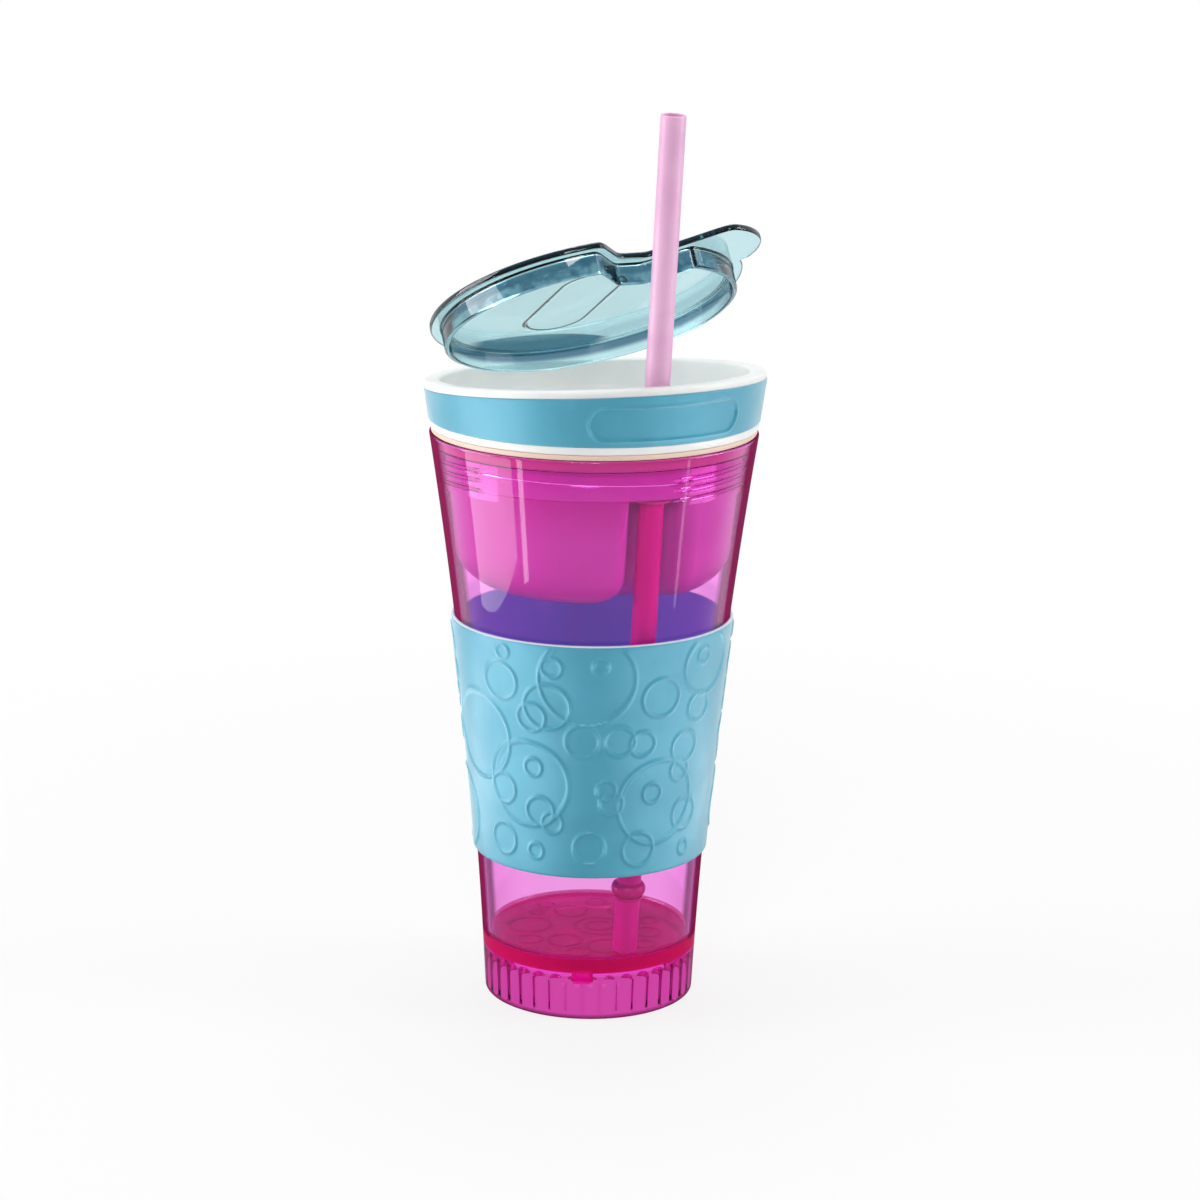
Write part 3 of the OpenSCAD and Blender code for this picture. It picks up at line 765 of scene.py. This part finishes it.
def tray_skin():
    """The snack tray, from under its bowl up the outside, over the sloping lip and down the
    inside. A bay in its front, under the deck, is the straw's groove."""
    rows = []
    add = rows.append

    def bay_rows(r, z, flare, inward):
        """Circles with the bay, whose centre leans forward with the straw. It is wider by
        flare, and by inward, the wall between the tray's outside and its inside."""
        r, z = column(r), column(z)
        half = np.reshape(CHANNEL_R + flare + inward, (-1, 1))
        x, y = bay_outline(r, straw_at(z) + CHANNEL_OUT, half, LIP_R - 0.5 * inward)
        return joined(x, y, z)

    # The turn where the bay's lip meets the skirt: plain rows put a column there too.
    aside = CHANNEL_R + LIP_R
    first = atan2(aside, sqrt((SKIRT_R - LIP_R) ** 2 - aside ** 2))

    def plain_rows(r, z):
        """Level circles without the bay."""
        return joined(*plain_outline(column(r), first), column(z))

    def under_rim(r, below):
        """Circles without the bay, each in a plane that slopes as the rim does."""
        x, y = plain_outline(column(r), first)
        return joined(x, y, rim_height(y, column(below)))

    low_r = BOWL_R - BOWL_FILLET
    a = np.radians(np.linspace(0, 90, 22))

    def flare(height):
        """The bay's lips end in a quarter round at the bowl's foot."""
        return BAY_ROUND * (1 - np.sqrt(1 - np.clip(1 - height / BAY_ROUND, 0, 1) ** 2))

    def foot(z, flare, inward):
        """The flat of the bowl's foot: its outline drawn in to the middle."""
        share = column([0.01, 0.25, 0.5, 0.75, 0.97])[..., None]
        return bay_rows([low_r], [z], flare, inward) * [1, 1, 0] * share + [0, 0, z]

    add(foot(BOWL_Z, BAY_ROUND, 0))
    height = BOWL_FILLET * (1 - np.cos(a))
    add(bay_rows(low_r + BOWL_FILLET * np.sin(a), BOWL_Z + height, flare(height), 0))
    share = np.linspace(0, 1, 12)[1:]
    rise = SKIRT_Z - 0.3 - BOWL_Z - BOWL_FILLET
    add(bay_rows(BOWL_R + (SKIRT_R - BOWL_R) * share,
                 BOWL_Z + BOWL_FILLET + rise * share, 0, 0))
    add(plain_rows([SKIRT_R], [SKIRT_Z]))
    x, y = plain_outline([[1.0]], first)
    z, ridge, _ = thread_rows(SKIRT_Z + 0.3, STRIP_TOP, 0.9, np.arctan2(x, -y), 2, 1.0)
    add(joined((SKIRT_R + ridge) * x, (SKIRT_R + ridge) * y, z))
    edge = rounded([(SKIRT_R, STRIP_TOP + 0.4, 0), (SKIRT_R, SEAT_Z, 0.3),
                    (RING_R, SEAT_Z, 0.35), (RING_R, RING_TOP, 0.35), (BAND_SEAT_R, RING_TOP, 0),
                    (BAND_SEAT_R, RING_TOP + 0.5, 0)], closed=False, parts=3)
    add(plain_rows(edge[:, 0], edge[:, 1]))
    lip = rounded([(BAND_SEAT_R + 0.4, LIP_H, 0), (RIM_R, LIP_H, 0.25), (RIM_R, 0, 0.95),
                   (OPENING_R, 0, 0.9), (OPENING_R, 3.0, 0)], closed=False, parts=6)
    add(under_rim(lip[:, 0], lip[:, 1]))
    inner_r = SKIRT_R - TRAY_WALL
    shelf = rounded([(OPENING_R, SHELF_Z + 3.5, 0), (OPENING_R, SHELF_Z + 1.8, 1.0),
                     (OPENING_R - 0.9, SHELF_Z, 0.6), (inner_r, SHELF_Z, 0.8),
                     (inner_r, SHELF_Z - 2.5, 0)], closed=False, parts=4)
    add(plain_rows(shelf[:, 0], shelf[:, 1]))
    deck = SKIRT_Z + DECK_T
    add(plain_rows([inner_r] * 4, np.linspace(172, deck + 0.1, 4)))
    add(bay_rows(BOWL_R - TRAY_WALL + (SKIRT_R - BOWL_R) * share[::-1],
                 BOWL_Z + BOWL_FILLET + (deck - BOWL_Z - BOWL_FILLET) * share[::-1], 0, TRAY_WALL))
    inner = BOWL_FILLET - TRAY_WALL
    height = inner * (1 - np.cos(a[::-1]))
    add(bay_rows(low_r + inner * np.sin(a[::-1]), BOWL_Z + TRAY_WALL + height,
                 flare(height + TRAY_WALL), TRAY_WALL))
    add(foot(BOWL_Z + TRAY_WALL, flare(TRAY_WALL), TRAY_WALL)[::-1])
    return np.concatenate(rows)


def straw_wall_skin():
    """The wall that keeps snacks from the straw above the deck: a U in plan, whose ends sink
    into the tray's front wall."""
    deck = SKIRT_Z + DECK_T
    heights = np.concatenate([[deck - 1.0], np.linspace(deck, 183.0, 12), [187.0, 190.0, 192.0]])
    z = column(heights)
    middle = straw_at(z) + CHANNEL_OUT
    angle = np.radians(np.linspace(90, -90, 31))[None, :]

    def leaf(width):
        """One face of the U: a straight side, a half round behind the straw, and the other
        side, which are each "width" from the straw's axis."""
        tip = np.sqrt(np.interp(z, *WALL_TIPS) ** 2 - width ** 2)
        x = np.concatenate([width + 0 * z, width * np.sin(angle) + 0 * z, 0 * z - width], axis=1)
        return x, np.concatenate([tip, middle - width * np.cos(angle), tip], axis=1)

    (xo, fo), (xi, fi) = leaf(CHANNEL_R + TRAY_WALL), leaf(CHANNEL_R)
    x = np.concatenate([xo, xi[:, ::-1]], axis=1)
    forward = np.concatenate([fo, fi[:, ::-1]], axis=1)
    top = rim_height(-forward, 1.9)
    wall = joined(x, -forward, np.minimum(z, top))
    core = (wall + wall[:, ::-1]) / 2
    soft_top = np.concatenate([core[-1:] + (wall[-1:] - core[-1:]) * 0.55 + [0, 0, 0.3],
                               core[-1:] + [0, 0, 0.35]])
    return np.concatenate([core[:1], wall[:-1], soft_top])


def notch_reach(turn, back, half_flat, side):
    """Distance to a notch cut into the front of a disc: a straight back, half_flat wide each
    way, and two sides that open by the angle "side". Its corners are rounded."""
    side_d = back * np.sin(side) - half_flat * np.cos(side)
    far = back / np.maximum(np.cos(turn), 0.05)
    for t in (turn, -turn):
        lean = np.sin(side - t)
        edge = np.where(lean > 0.02, side_d / np.maximum(lean, 0.02), 500.0)
        far = soft_max(far, np.minimum(edge, 200.0), 2.2)
    return far


def lid_skin(line_h):
    """The lid as one surface in the plane of the rim, tipped open: plate, flange with notch
    and finger tab, and the plug wall under it, which goes round the straw's wall."""
    turn = turns(720)
    t = (turn + pi) % TAU - pi
    off = np.degrees(t) - TAB_TURN
    left, right = (np.clip(v, 0, 1) for v in (-off / TAB_LEFT, off / TAB_RIGHT))
    tab = np.where(off < 0, (1 - left ** 2.2) ** 0.8, (1 - right ** 2) ** 0.9)
    flange = LID_R + TAB_OUT * tab
    flange = soft_min(flange, notch_reach(t, *FLANGE_NOTCH), 3.0)
    plug = soft_min(np.full_like(t, PLUG_R), notch_reach(t, *PLUG_NOTCH), 3.0)
    plug_in = soft_min(np.full_like(t, PLUG_R - PLUG_T), notch_reach(t, *PLUG_NOTCH_IN), 3.0)
    top, low, foot = LID_GAP + LID_T, LID_GAP, LID_GAP - PLUG_H
    rows = []

    def add(r, z):
        rows.append(around(r, z, turn))

    def panel(r):
        """A bell curve across the pill-shaped line round the bare panel."""
        x, forward = r * np.sin(turn), r * np.cos(turn)
        d = pill(forward + 2.5, x + 3.0, 23.0, 9.5)
        return np.exp(-(d / 0.42) ** 2)

    inner = steps(0.01, DENSE_R, 70)
    add(inner, top + line_h * panel(inner))
    share = column(np.linspace(0, 1, 5)[1:])
    add(DENSE_R + (flange - 0.9 - DENSE_R) * share, top)
    edge = rounded([(-0.8, top, 0), (0, top, 0.6), (0, low, 0.5), (-0.8, low, 0)], closed=False)
    add(flange + column(edge[:, 0]), column(edge[:, 1]))
    add(plug + 0.6 + (flange - 0.9 - plug - 0.6) * column([0.6, 0.2]), low)
    wall = rounded([(0.6, low, 0), (0, low, 0.4), (0, foot, 0.5), (-PLUG_T, foot, 0.5)],
                   closed=False)[:-6]
    add(plug + column(wall[:, 0]), column(wall[:, 1]))
    add(plug - 0.5 + (plug_in + 0.5 - plug + 0.5) * column([0.35, 0.7]), foot)
    inside = rounded([(0.5, foot, 0), (0, foot, 0.5), (0, low, 1.0), (-1.6, low, 0)], closed=False)
    add(plug_in + column(inside[:, 0]), column(inside[:, 1]))
    add(DENSE_R + (plug_in - 1.8 - DENSE_R) * column([0.66, 0.33]), low)
    add(steps(DENSE_R, 0.01, 24), low)
    pivot = np.array([0, PIVOT_R, PIVOT_H])
    opened = tipped(np.concatenate(rows) - pivot, -LID_OPEN) + pivot
    return tipped(opened, -RIM_SLOPE) + [0, 0, RIM_Z]


def straw_skin():
    """The straw, a tube with rounded ends, in the object's frame."""
    tube = rounded([(STRAW_BORE_R, 0, 0.3), (STRAW_R, 0, 0.35), (STRAW_R, STRAW_LEN, 0.35),
                    (STRAW_BORE_R, STRAW_LEN, 0.3)])
    return straw_frame(revolve(tube, 64))


def bead_skin():
    """The stop bead: a round bulge on a low collar."""
    swell = np.radians(np.linspace(78, -78, 15))
    bulge = np.stack([BEAD_R - 2 + 2 * np.cos(swell), BEAD_Z + BEAD_H * np.sin(swell)], axis=1)
    collar = rounded([(3.4, 17.9, 0), (4.3, 17.9, 0.25), (4.3, 17.1, 0.25), (3.61, 17.1, 0)],
                     closed=False, parts=3)
    top = np.array([[3.61, 22.4]])
    return straw_frame(revolve(np.concatenate([top, bulge, collar]), 72))


def seal_skin():
    """The cup's seal: a flange on the rim, and a leg that hangs in the mouth."""
    inner, leg, flange = SKIRT_R + 0.35, MOUTH_R - 0.35, CUP_RIM_R - 0.6
    low, step, high = LAND_TOP + 0.35, CUP_H + 0.1, CUP_H + 1.7
    return revolve(rounded([(inner, low, 0.3), (leg, low, 0.3), (leg, step, 0.3),
                            (flange, step, 0.4), (flange, high, 0.4), (inner, high, 0.3)],
                           parts=4))


def straw_seal_skin():
    """The straw's seal: a body in the deck, and a flange under it."""
    deck = (SKIRT_Z - STRAW_FOOT[1]) / cos(STRAW_LEAN)
    bore, body, flange, low = STRAW_R + 0.05, 4.5, 5.6, deck - 0.8
    return straw_frame(revolve(rounded([
        (bore, low, 0.15), (flange, low, 0.3), (flange, deck, 0.15), (body, deck, 0.1),
        (body, deck + DECK_T, 0.2), (bore, deck + DECK_T, 0.15)], parts=3), 64))


# --- the stage
def floor_material():
    """Matt paper that keeps the shadow, white to the camera from a little way off. Gloss on
    the object sees it white behind the object and dark in front."""
    material = bpy.data.materials.new("pale_floor")
    t = Tree(material)
    _, (x, y, _) = t.place()
    far = reach(x, y).above(0.12, 0.5)
    paper = t.bsdf("Diffuse", {"Color": (0.82, 0.82, 0.82)})
    white, dark = t.glow(1.0), t.glow(0.08)
    back = y * cos(VIEW_TURN) - x * sin(VIEW_TURN)
    seen = t.rays("Camera", "Transmission")
    gloss = t.rays("Glossy") * (1.0 - seen)
    surface = t.blend(seen * (far * 0.2 + 0.8), paper, white)
    t.finish(t.blend(gloss * 0.9, surface, t.blend(back.above(0.0, 0.3), dark, white)))
    return material


def add_lamp(scene, name, turn, place, size, watts):
    """An area light at a turn from the camera's side, with the watts of a square metre."""
    eye = view_axes()[0]
    angle = atan2(eye[1], eye[0]) + radians(turn)
    light = bpy.data.lights.new(name, "AREA")
    light.shape, light.size, light.size_y = "RECTANGLE", *size
    light.energy = watts * size[0] * size[1]
    lamp = bpy.data.objects.new(name, light)
    lamp.location = (place[0] * cos(angle), place[0] * sin(angle), place[1])
    lamp.visible_camera = False
    scene.collection.objects.link(lamp)
    return lamp, angle


def add_lights(scene):
    """Each light has its name, turn, distance and height, size, and watts for each square
    metre. The soft boxes light everything. Cards and strips only show as reflections, and
    the two cards on the floor only on the rubber."""
    boxes = [("left_box", -88, (1.1, 0.30), (0.60, 1.0), 18.0),
             ("right_box", 86, (1.1, 0.32), (0.50, 1.0), 16.0),
             ("top_box", 180, (0.35, 1.25), (0.8, 0.8), 11.0),
             ("front_box", -6, (1.1, 0.75), (0.4, 0.4), 34.0)]
    cards = [("left_card", -78, (0.30, 0.075), (0.22, 0.14), 9.0),
             ("left_strip", -51, (0.30, 0.075), (0.02, 0.14), 16.0),
             ("right_strip", 67, (0.30, 0.072), (0.012, 0.14), 7.0)]
    on_floor = [("left_floor_card", -72, (0.28, 0.004), (0.36, 0.36), 13.0),
                ("right_floor_card", 74, (0.28, 0.004), (0.36, 0.36), 9.0)]
    for row in boxes + cards:
        lamp, _ = add_lamp(scene, *row)
        target = Vector((0, 0, 0.12 if row in boxes else row[2][1]))
        lamp.rotation_euler = (target - lamp.location).to_track_quat("-Z", "Y").to_euler()
        if row in cards:
            lamp.visible_diffuse = lamp.visible_transmission = False
    rubber = bpy.data.collections.new("rubber_pieces")
    for name in ("sleeve", "band"):
        rubber.objects.link(bpy.data.objects[name])
    for row in on_floor:
        lamp, angle = add_lamp(scene, *row)
        lamp.rotation_euler = (pi, 0, angle)
        lamp.visible_transmission = lamp.visible_diffuse = False
        lamp.light_linking.receiver_collection = rubber


def add_surroundings(scene):
    """White to the camera, through glass, and to gloss behind the object; dim to light."""
    world = bpy.data.worlds.new("pale_room")
    scene.world = world
    t = Tree(world)
    clear = t.rays("Camera", "Transmission")
    _, (x, y, _) = t.place(0)
    back = (y * cos(VIEW_TURN) - x * sin(VIEW_TURN)).above(-0.1, 0.4)
    seen = clear.most(t.rays("Glossy") * (back * 0.9 + 0.1))
    t.finish(t.blend(seen, t.glow(0.24, "Background"), t.glow(1.0, "Background")),
             kind="World")


def add_camera(scene):
    """The photograph's viewing angle and field of view."""
    place, right, up, ahead = view_axes()
    data = bpy.data.cameras.new("photo_camera")
    data.sensor_width = SENSOR
    data.lens = VIEW_FOCAL_PX / VIEW_PX * SENSOR
    data.clip_start, data.clip_end = 0.01, 20.0
    camera = bpy.data.objects.new("photo_camera", data)
    axes = np.stack([right, up, -ahead, place * MM], axis=1)
    camera.matrix_world = Matrix([*axes.tolist(), [0, 0, 0, 1]])
    scene.collection.objects.link(camera)
    scene.camera = camera


# --- the add-on
def length(label, note, default):
    """A size in metres that a user may change."""
    return bpy.props.FloatProperty(name=label, description=note, default=default, unit="LENGTH")


class TumblerSizes(bpy.types.PropertyGroup):
    """Sizes of the details that the solids don't have."""
    flutes: bpy.props.IntProperty(
        name="Flutes", description="Number of flutes inside the skirt", default=36, min=12)
    flute_rib: length("Flute depth", "Height of the rib between two flutes", 0.0007)
    floor_ring: length("Floor rings", "Height of the rings on the drinking floor", 0.0003)
    sleeve_ring: length("Sleeve rings", "Height of the rings moulded on the sleeve", 0.00045)
    sleeve_line: length("Sleeve line", "Half width of a ring's raised line", 0.00046)
    panel_depth: length("Panel depth", "Depth of the bare panel in the band", 0.0006)
    lid_line: length("Lid line", "Height of the line round the lid's bare panel", 0.0004)
    floor_size: length("Floor", "Radius of the floor under the tumbler", 3.0)


def colour(label, note, code):
    """A colour that a user may change, whose default is given as linear takes it."""
    return bpy.props.FloatVectorProperty(name=label, description=note, subtype="COLOR", size=3,
                                         min=0, max=1, default=linear(code))


class TumblerColours(bpy.types.PropertyGroup):
    """Colours of the plastics and rubbers."""
    cup_pass: colour("Cup", "Light that a thin wall of the cup lets through", "FDCCF8")
    cup_film: colour("Cup light", "Light that a face of the cup lets in", "ECA5DC")
    cup_edge: colour("Cup edge", "The cup where its wall turns away", "7C1245")
    cup_skirt: colour("Skirt", "Tint of the fluted skirt", "E064B8")
    floor_dye: colour("Cup floor", "Dye of the thick drinking floor", "FF06A6")
    floor_edge: colour("Floor edge", "Tint of the floor's edge in the wall", "FF60F0")
    floor_ring: colour("Floor ring", "Deep edge of the floor", "E4106A")
    rubber: colour("Rubber", "Sleeve and band", "4AA1BB")
    rubber_deep: colour("Rubber, deep", "Cloudy parts of the rubber", "4298B2")
    # Painted glow: the sleeve's inner face is coloured lighter than the rubber, for light that
    # comes through it. The same colour tints its real translucency.
    rubber_inside_glow: colour("Rubber inside", "Inner face of the sleeve", "9CB4FF")
    # A painted highlight along the sleeve's upper edge.
    rubber_rim_highlight: colour("Sleeve rim", "Upper edge of the sleeve", "E4EEF6")
    rubber_film: colour("Rubber light", "Light that the sleeve lets through", "C8F4FF")
    white: colour("Tray", "Snack tray", "EFEFEC")
    white_deep: colour("Tray, deep", "Cloudy parts of the tray", "E7E8E6")
    # Painted shade, pink for the dye-tinted light, on the tray's outside under the thread and
    # along the skirt's edge, which shows only through the cup.
    tray_painted_shade: bpy.props.FloatVectorProperty(
        name="Steeped tray", description="Tray's front as seen through the cup", subtype="COLOR",
        size=3, min=0, max=1, default=(0.70, 0.25, 0.55))
    seal: colour("Seals", "Soft seals", "E6CDBB")
    straw: colour("Straw", "Straw", "E4B2D4")
    straw_deep: colour("Straw, deep", "Cloudy parts of the straw", "DAA4CA")
    # Painted shade: the straw's part in the cup is coloured deeper for the dim, dye-tinted light
    # there, seen only through the cup.
    straw_painted_shade: colour("Steeped straw", "Straw as seen through the cup", "EF31B0")
    bead: colour("Stop bead", "Bead on the straw", "D0308F")
    lid_pass: colour("Lid", "Light that the lid's plate lets through", "F0F8FA")
    lid_plate: colour("Plate", "Tint of the lid's plate", "CAEDF1")
    # A painted reflection: the plug wall's dark mirror image, laid on the plate as colour.
    lid_painted_reflection: colour("Lens", "Dark mirror image of the plug wall in the plate", "204C60")
    lid_film: colour("Lid light", "Light that a face of the lid lets through", "FFFFFF")
    lid_edge: colour("Lid edge", "The lid where its surface turns away", "24505E")
    lid_wall: colour("Lid's wall", "Tint of the plug wall", "44708A")


def sizes(context):
    """The sizes as the user has set them."""
    return context.scene.tumbler_sizes


def tones(context, *names):
    """The colours of these names as the user has set them."""
    return [tuple(getattr(context.scene.tumbler_colours, name)) for name in names]


class Undoable:
    """What all the pieces' operators share."""
    bl_options = {"REGISTER", "UNDO"}


class TUMBLER_OT_cup(Undoable, bpy.types.Operator):
    """Add the clear cup with its flutes, key, thread ridges and floor rings"""
    bl_idname = "tumbler.cup"
    bl_label = "Cup"

    def execute(self, context):
        s = sizes(context)
        dye, edge, skirt, ring, thin, film, away = tones(
            context, "floor_dye", "floor_edge", "cup_skirt", "floor_ring", "cup_pass", "cup_film",
            "cup_edge")

        def tint(t, x, y, z, spot):
            """The skirt under the floor, and the floor's own edge behind the wall."""
            shade = t.mix(z.below(*SLAB_LOW), (1.0, 1.0, 1.0), skirt)
            shade = t.mix(z.below(*FOOT_LINE), shade, tuple(c * 0.4 for c in skirt))
            return t.mix(z.above(*SLAB_LOW) * z.below(*SLAB_TOP), shade, edge)

        def solid(t, x, y, z, spot):
            """The drinking floor, whose dye is deep: its upper face, its edge in the wall, and
            the key block under it."""
            far = reach(x, y)
            top = z.above(*FACE_LOW) * z.below(*FACE_TOP) * far.below(*FACE_REACH)
            side = z.above(*EDGE_LOW) * z.below(*EDGE_TOP) * far.above(*FACE_REACH) * 0.8
            s, c = sin(KEY_TURN), cos(KEY_TURN)
            key = (x * s - y * c).above(*KEY_REACH) * (x * c + y * s).size().below(*KEY_SIDE) \
                * z.above(*KEY_LOW) * z.below(*KEY_TOP) * 0.8
            cloud = t.noise(90.0, 3.0, spot)
            dyed = t.mix(cloud.above(0.35, 0.65), tuple(0.85 * c for c in dye), dye)
            return (top + side).most(key), t.bsdf("Principled", {
                "Base Color": t.mix(side.above(0.0, 0.5), dyed, ring),
                "Roughness": cloud * 0.1 + 0.2, "Specular IOR Level": 0.1,
                "Transmission Weight": 0.35, "IOR": 1.18})

        material = clear_material("clear_pink_plastic", thin, film, away, depth=0.0023,
                                  edge_from=(0.60, 0.75), tint=tint, solid=solid,
                                  clear_at=lambda z: z.below(*SLAB_TOP))
        make_piece("cup", [cup_skin(s.flutes, s.flute_rib / MM, s.floor_ring / MM)], "cup",
                   "cup_body", material, loop=False)
        return {"FINISHED"}


class TUMBLER_OT_sleeve(Undoable, bpy.types.Operator):
    """Add the soft sleeve with its raised rings"""
    bl_idname = "tumbler.sleeve"
    bl_label = "Grip sleeve"

    def execute(self, context):
        s = sizes(context)
        teal, deep, inside, film, rim = tones(
            context, "rubber", "rubber_deep", "rubber_inside_glow", "rubber_film", "rubber_rim_highlight")
        rubber = plastic_material("teal_rubber", teal, deep, rough=0.34, grain=0.00002, sheen=0.85,
                                  # The inner face's lighter colour is a painted glow, beside its
                                  # real translucency.
                                  inside=(inside, sleeve_inside), film=film,
                                  # A painted highlight along the sleeve's upper edge.
                                  rim=(rim, sleeve_rim_highlight))
        make_piece("sleeve", [sleeve_skin(s.sleeve_ring / MM, s.sleeve_line / MM)], "cup",
                   "grip_sleeve", rubber)
        return {"FINISHED"}


class TUMBLER_OT_tray(Undoable, bpy.types.Operator):
    """Add the white snack tray"""
    bl_idname = "tumbler.tray"
    bl_label = "Snack tray"

    def execute(self, context):
        shade, deep, painted_light = tones(context, "white", "white_deep", "tray_painted_shade")
        # The tray seen through the cup gets painted shade under its thread and along its skirt's
        # edge.
        white = plastic_material("white_plastic", shade, deep, rough=0.28, grain=0.000004,
                                 painted_light=(painted_light, collar_painted_shade))
        make_piece("tray", [tray_skin(), straw_wall_skin()], "tray", "snack_tray",
                   white, loop=False)
        return {"FINISHED"}


class TUMBLER_OT_band(Undoable, bpy.types.Operator):
    """Add the coloured band with its bare panel"""
    bl_idname = "tumbler.band"
    bl_label = "Rim band"

    def execute(self, context):
        teal, deep = tones(context, "rubber", "rubber_deep")
        rubber = plastic_material("teal_band", teal, deep, rough=0.34, grain=0.00001, sheen=0.85)
        make_piece("band", [band_skin(sizes(context).panel_depth / MM)], "tray", "rim_band",
                   rubber)
        return {"FINISHED"}


class TUMBLER_OT_seals(Undoable, bpy.types.Operator):
    """Add the two soft seals"""
    bl_idname = "tumbler.seals"
    bl_label = "Seals"

    def execute(self, context):
        cream, = tones(context, "seal")
        soft = plastic_material("cream_rubber", cream, cream, rough=0.5, grain=0.00001)
        make_piece("seal", [seal_skin()], "seal", "cup_seal", soft)
        make_piece("straw_collar", [straw_seal_skin()], "tray", "straw_seal", soft)
        return {"FINISHED"}


class TUMBLER_OT_straw(Undoable, bpy.types.Operator):
    """Add the straw and its stop bead"""
    bl_idname = "tumbler.straw"
    bl_label = "Straw"

    def execute(self, context):
        pink, deep, painted_light, magenta = tones(
            context, "straw", "straw_deep", "straw_painted_shade", "bead")
        # The straw's part in the cup gets painted shade, a deeper colour seen through the cup.
        milky = plastic_material("pink_plastic", pink, deep, rough=0.35, grain=0.000004, film=pink,
                                 painted_light=(painted_light, straw_in_cup))
        bead = plastic_material("magenta_plastic", magenta, magenta, rough=0.3, grain=0.000004)
        make_piece("straw", [straw_skin()], "straw", "straw_tube", milky)
        make_piece("bead", [bead_skin()], "straw", "straw_stop", bead)
        return {"FINISHED"}


class TUMBLER_OT_lid(Undoable, bpy.types.Operator):
    """Add the clear lid with its notch, finger tab, plug wall and bare panel"""
    bl_idname = "tumbler.lid"
    bl_label = "Lid"

    def execute(self, context):
        wall, plate, reflection_tone, thin, film, edge = tones(
            context, "lid_wall", "lid_plate", "lid_painted_reflection", "lid_pass", "lid_film", "lid_edge")
        s, c = sin(LID_OPEN + RIM_SLOPE), cos(LID_OPEN + RIM_SLOPE)
        pivot = (PIVOT_R * cos(RIM_SLOPE) + PIVOT_H * sin(RIM_SLOPE)) * MM
        rise = (RIM_Z + PIVOT_H * cos(RIM_SLOPE) - PIVOT_R * sin(RIM_SLOPE)) * MM

        def tint(t, x, y, z, spot):
            """The plug wall, deepest on the side of the notch and near the plate, and a painted
            reflection: the plug wall's dark mirror image, laid on the plate as a lens-shaped
            colour, whose front is the curve LENS_BEND x^2 + LENS_BACK.

            below is the depth under the plate, and along the way back in the lid's plane."""
            below = (y - pivot) * -s + (rise - z) * c + (LID_GAP - PIVOT_H) * MM
            along = (y - pivot) * c - (z - rise) * s + PIVOT_R * MM
            front = (y * -1.0).above(-0.02, 0.02)
            streaks = t.noise(300.0, 2.0, spot).above(0.35, 0.65) * 0.4 + 0.6
            share = below.above(0.0002, 0.0012) * (front * streaks).most(
                below.below(0.0026, 0.0046) * 0.9)
            line = (x + 0.005) * (x + 0.005) * LENS_BEND + LENS_BACK
            # Painted reflection: a dark, lens-shaped mirror image of the plug wall, laid on the
            # plate as colour.
            lens = (along - line).above(0.0, 0.0010) * below.below(0.0010, 0.0020) \
                * below.above(-0.0012, -0.0008) * (x + 0.001).size().below(*LENS_SIDE) \
                * reach(x, along).below(*LENS_REACH)
            return t.mix(lens, t.mix(share, plate, wall), reflection_tone)

        material = clear_material("clear_teal_plastic", thin, film, edge, depth=0.0024,
                                  edge_from=(0.77, 0.90), tint=tint)
        make_piece("lid", [lid_skin(sizes(context).lid_line / MM)], "lid", "snack_lid",
                   material, loop=False)
        return {"FINISHED"}


class TUMBLER_OT_stage(Undoable, bpy.types.Operator):
    """Add the floor, the soft lights, the pale surroundings and the camera"""
    bl_idname = "tumbler.stage"
    bl_label = "Stage"

    def execute(self, context):
        scene = context.scene
        r = column([0.001, 0.05, 0.2, 0.6, 1.0]) * sizes(context).floor_size
        grid = around(r, -0.0003, turns(64))
        mesh = bpy.data.meshes.new("floor")
        mesh.from_pydata(grid.reshape(-1, 3), [], skin_faces(grid, False)[:, ::-1].tolist())
        floor = bpy.data.objects.new("floor", mesh)
        scene.collection.objects.link(floor)
        mesh.materials.append(floor_material())
        add_lights(scene)
        add_surroundings(scene)
        add_camera(scene)
        scene.view_settings.view_transform = "Standard"
        return {"FINISHED"}


PIECES = [TUMBLER_OT_cup, TUMBLER_OT_sleeve, TUMBLER_OT_tray, TUMBLER_OT_band, TUMBLER_OT_seals,
          TUMBLER_OT_straw, TUMBLER_OT_lid, TUMBLER_OT_stage]


class TUMBLER_PT_panel(bpy.types.Panel):
    """Lists the tumbler's pieces, sizes and colours in the sidebar"""
    bl_idname = "TUMBLER_PT_panel"
    bl_label = "Tumbler"
    bl_space_type = "VIEW_3D"
    bl_region_type = "UI"
    bl_category = "Tumbler"

    def draw(self, context):
        rows = self.layout.column()
        for piece in PIECES:
            rows.operator(piece.bl_idname)
        for group in (context.scene.tumbler_sizes, context.scene.tumbler_colours):
            for name in group.__annotations__:
                rows.prop(group, name)


CLASSES = [TumblerSizes, TumblerColours, *PIECES, TUMBLER_PT_panel]


def register():
    for each in CLASSES:
        bpy.utils.register_class(each)
    bpy.types.Scene.tumbler_sizes = bpy.props.PointerProperty(type=TumblerSizes)
    bpy.types.Scene.tumbler_colours = bpy.props.PointerProperty(type=TumblerColours)


def unregister():
    del bpy.types.Scene.tumbler_sizes, bpy.types.Scene.tumbler_colours
    for each in reversed(CLASSES):
        bpy.utils.unregister_class(each)


def main():
    """Makes the pieces in order."""
    register()
    for piece in PIECES:
        name = piece.bl_idname.split(".")[1]
        if getattr(bpy.ops.tumbler, name)() != {"FINISHED"}:
            raise RuntimeError(f"{name} wasn't made")
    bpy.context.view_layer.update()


if __name__ == "__main__":
    main()
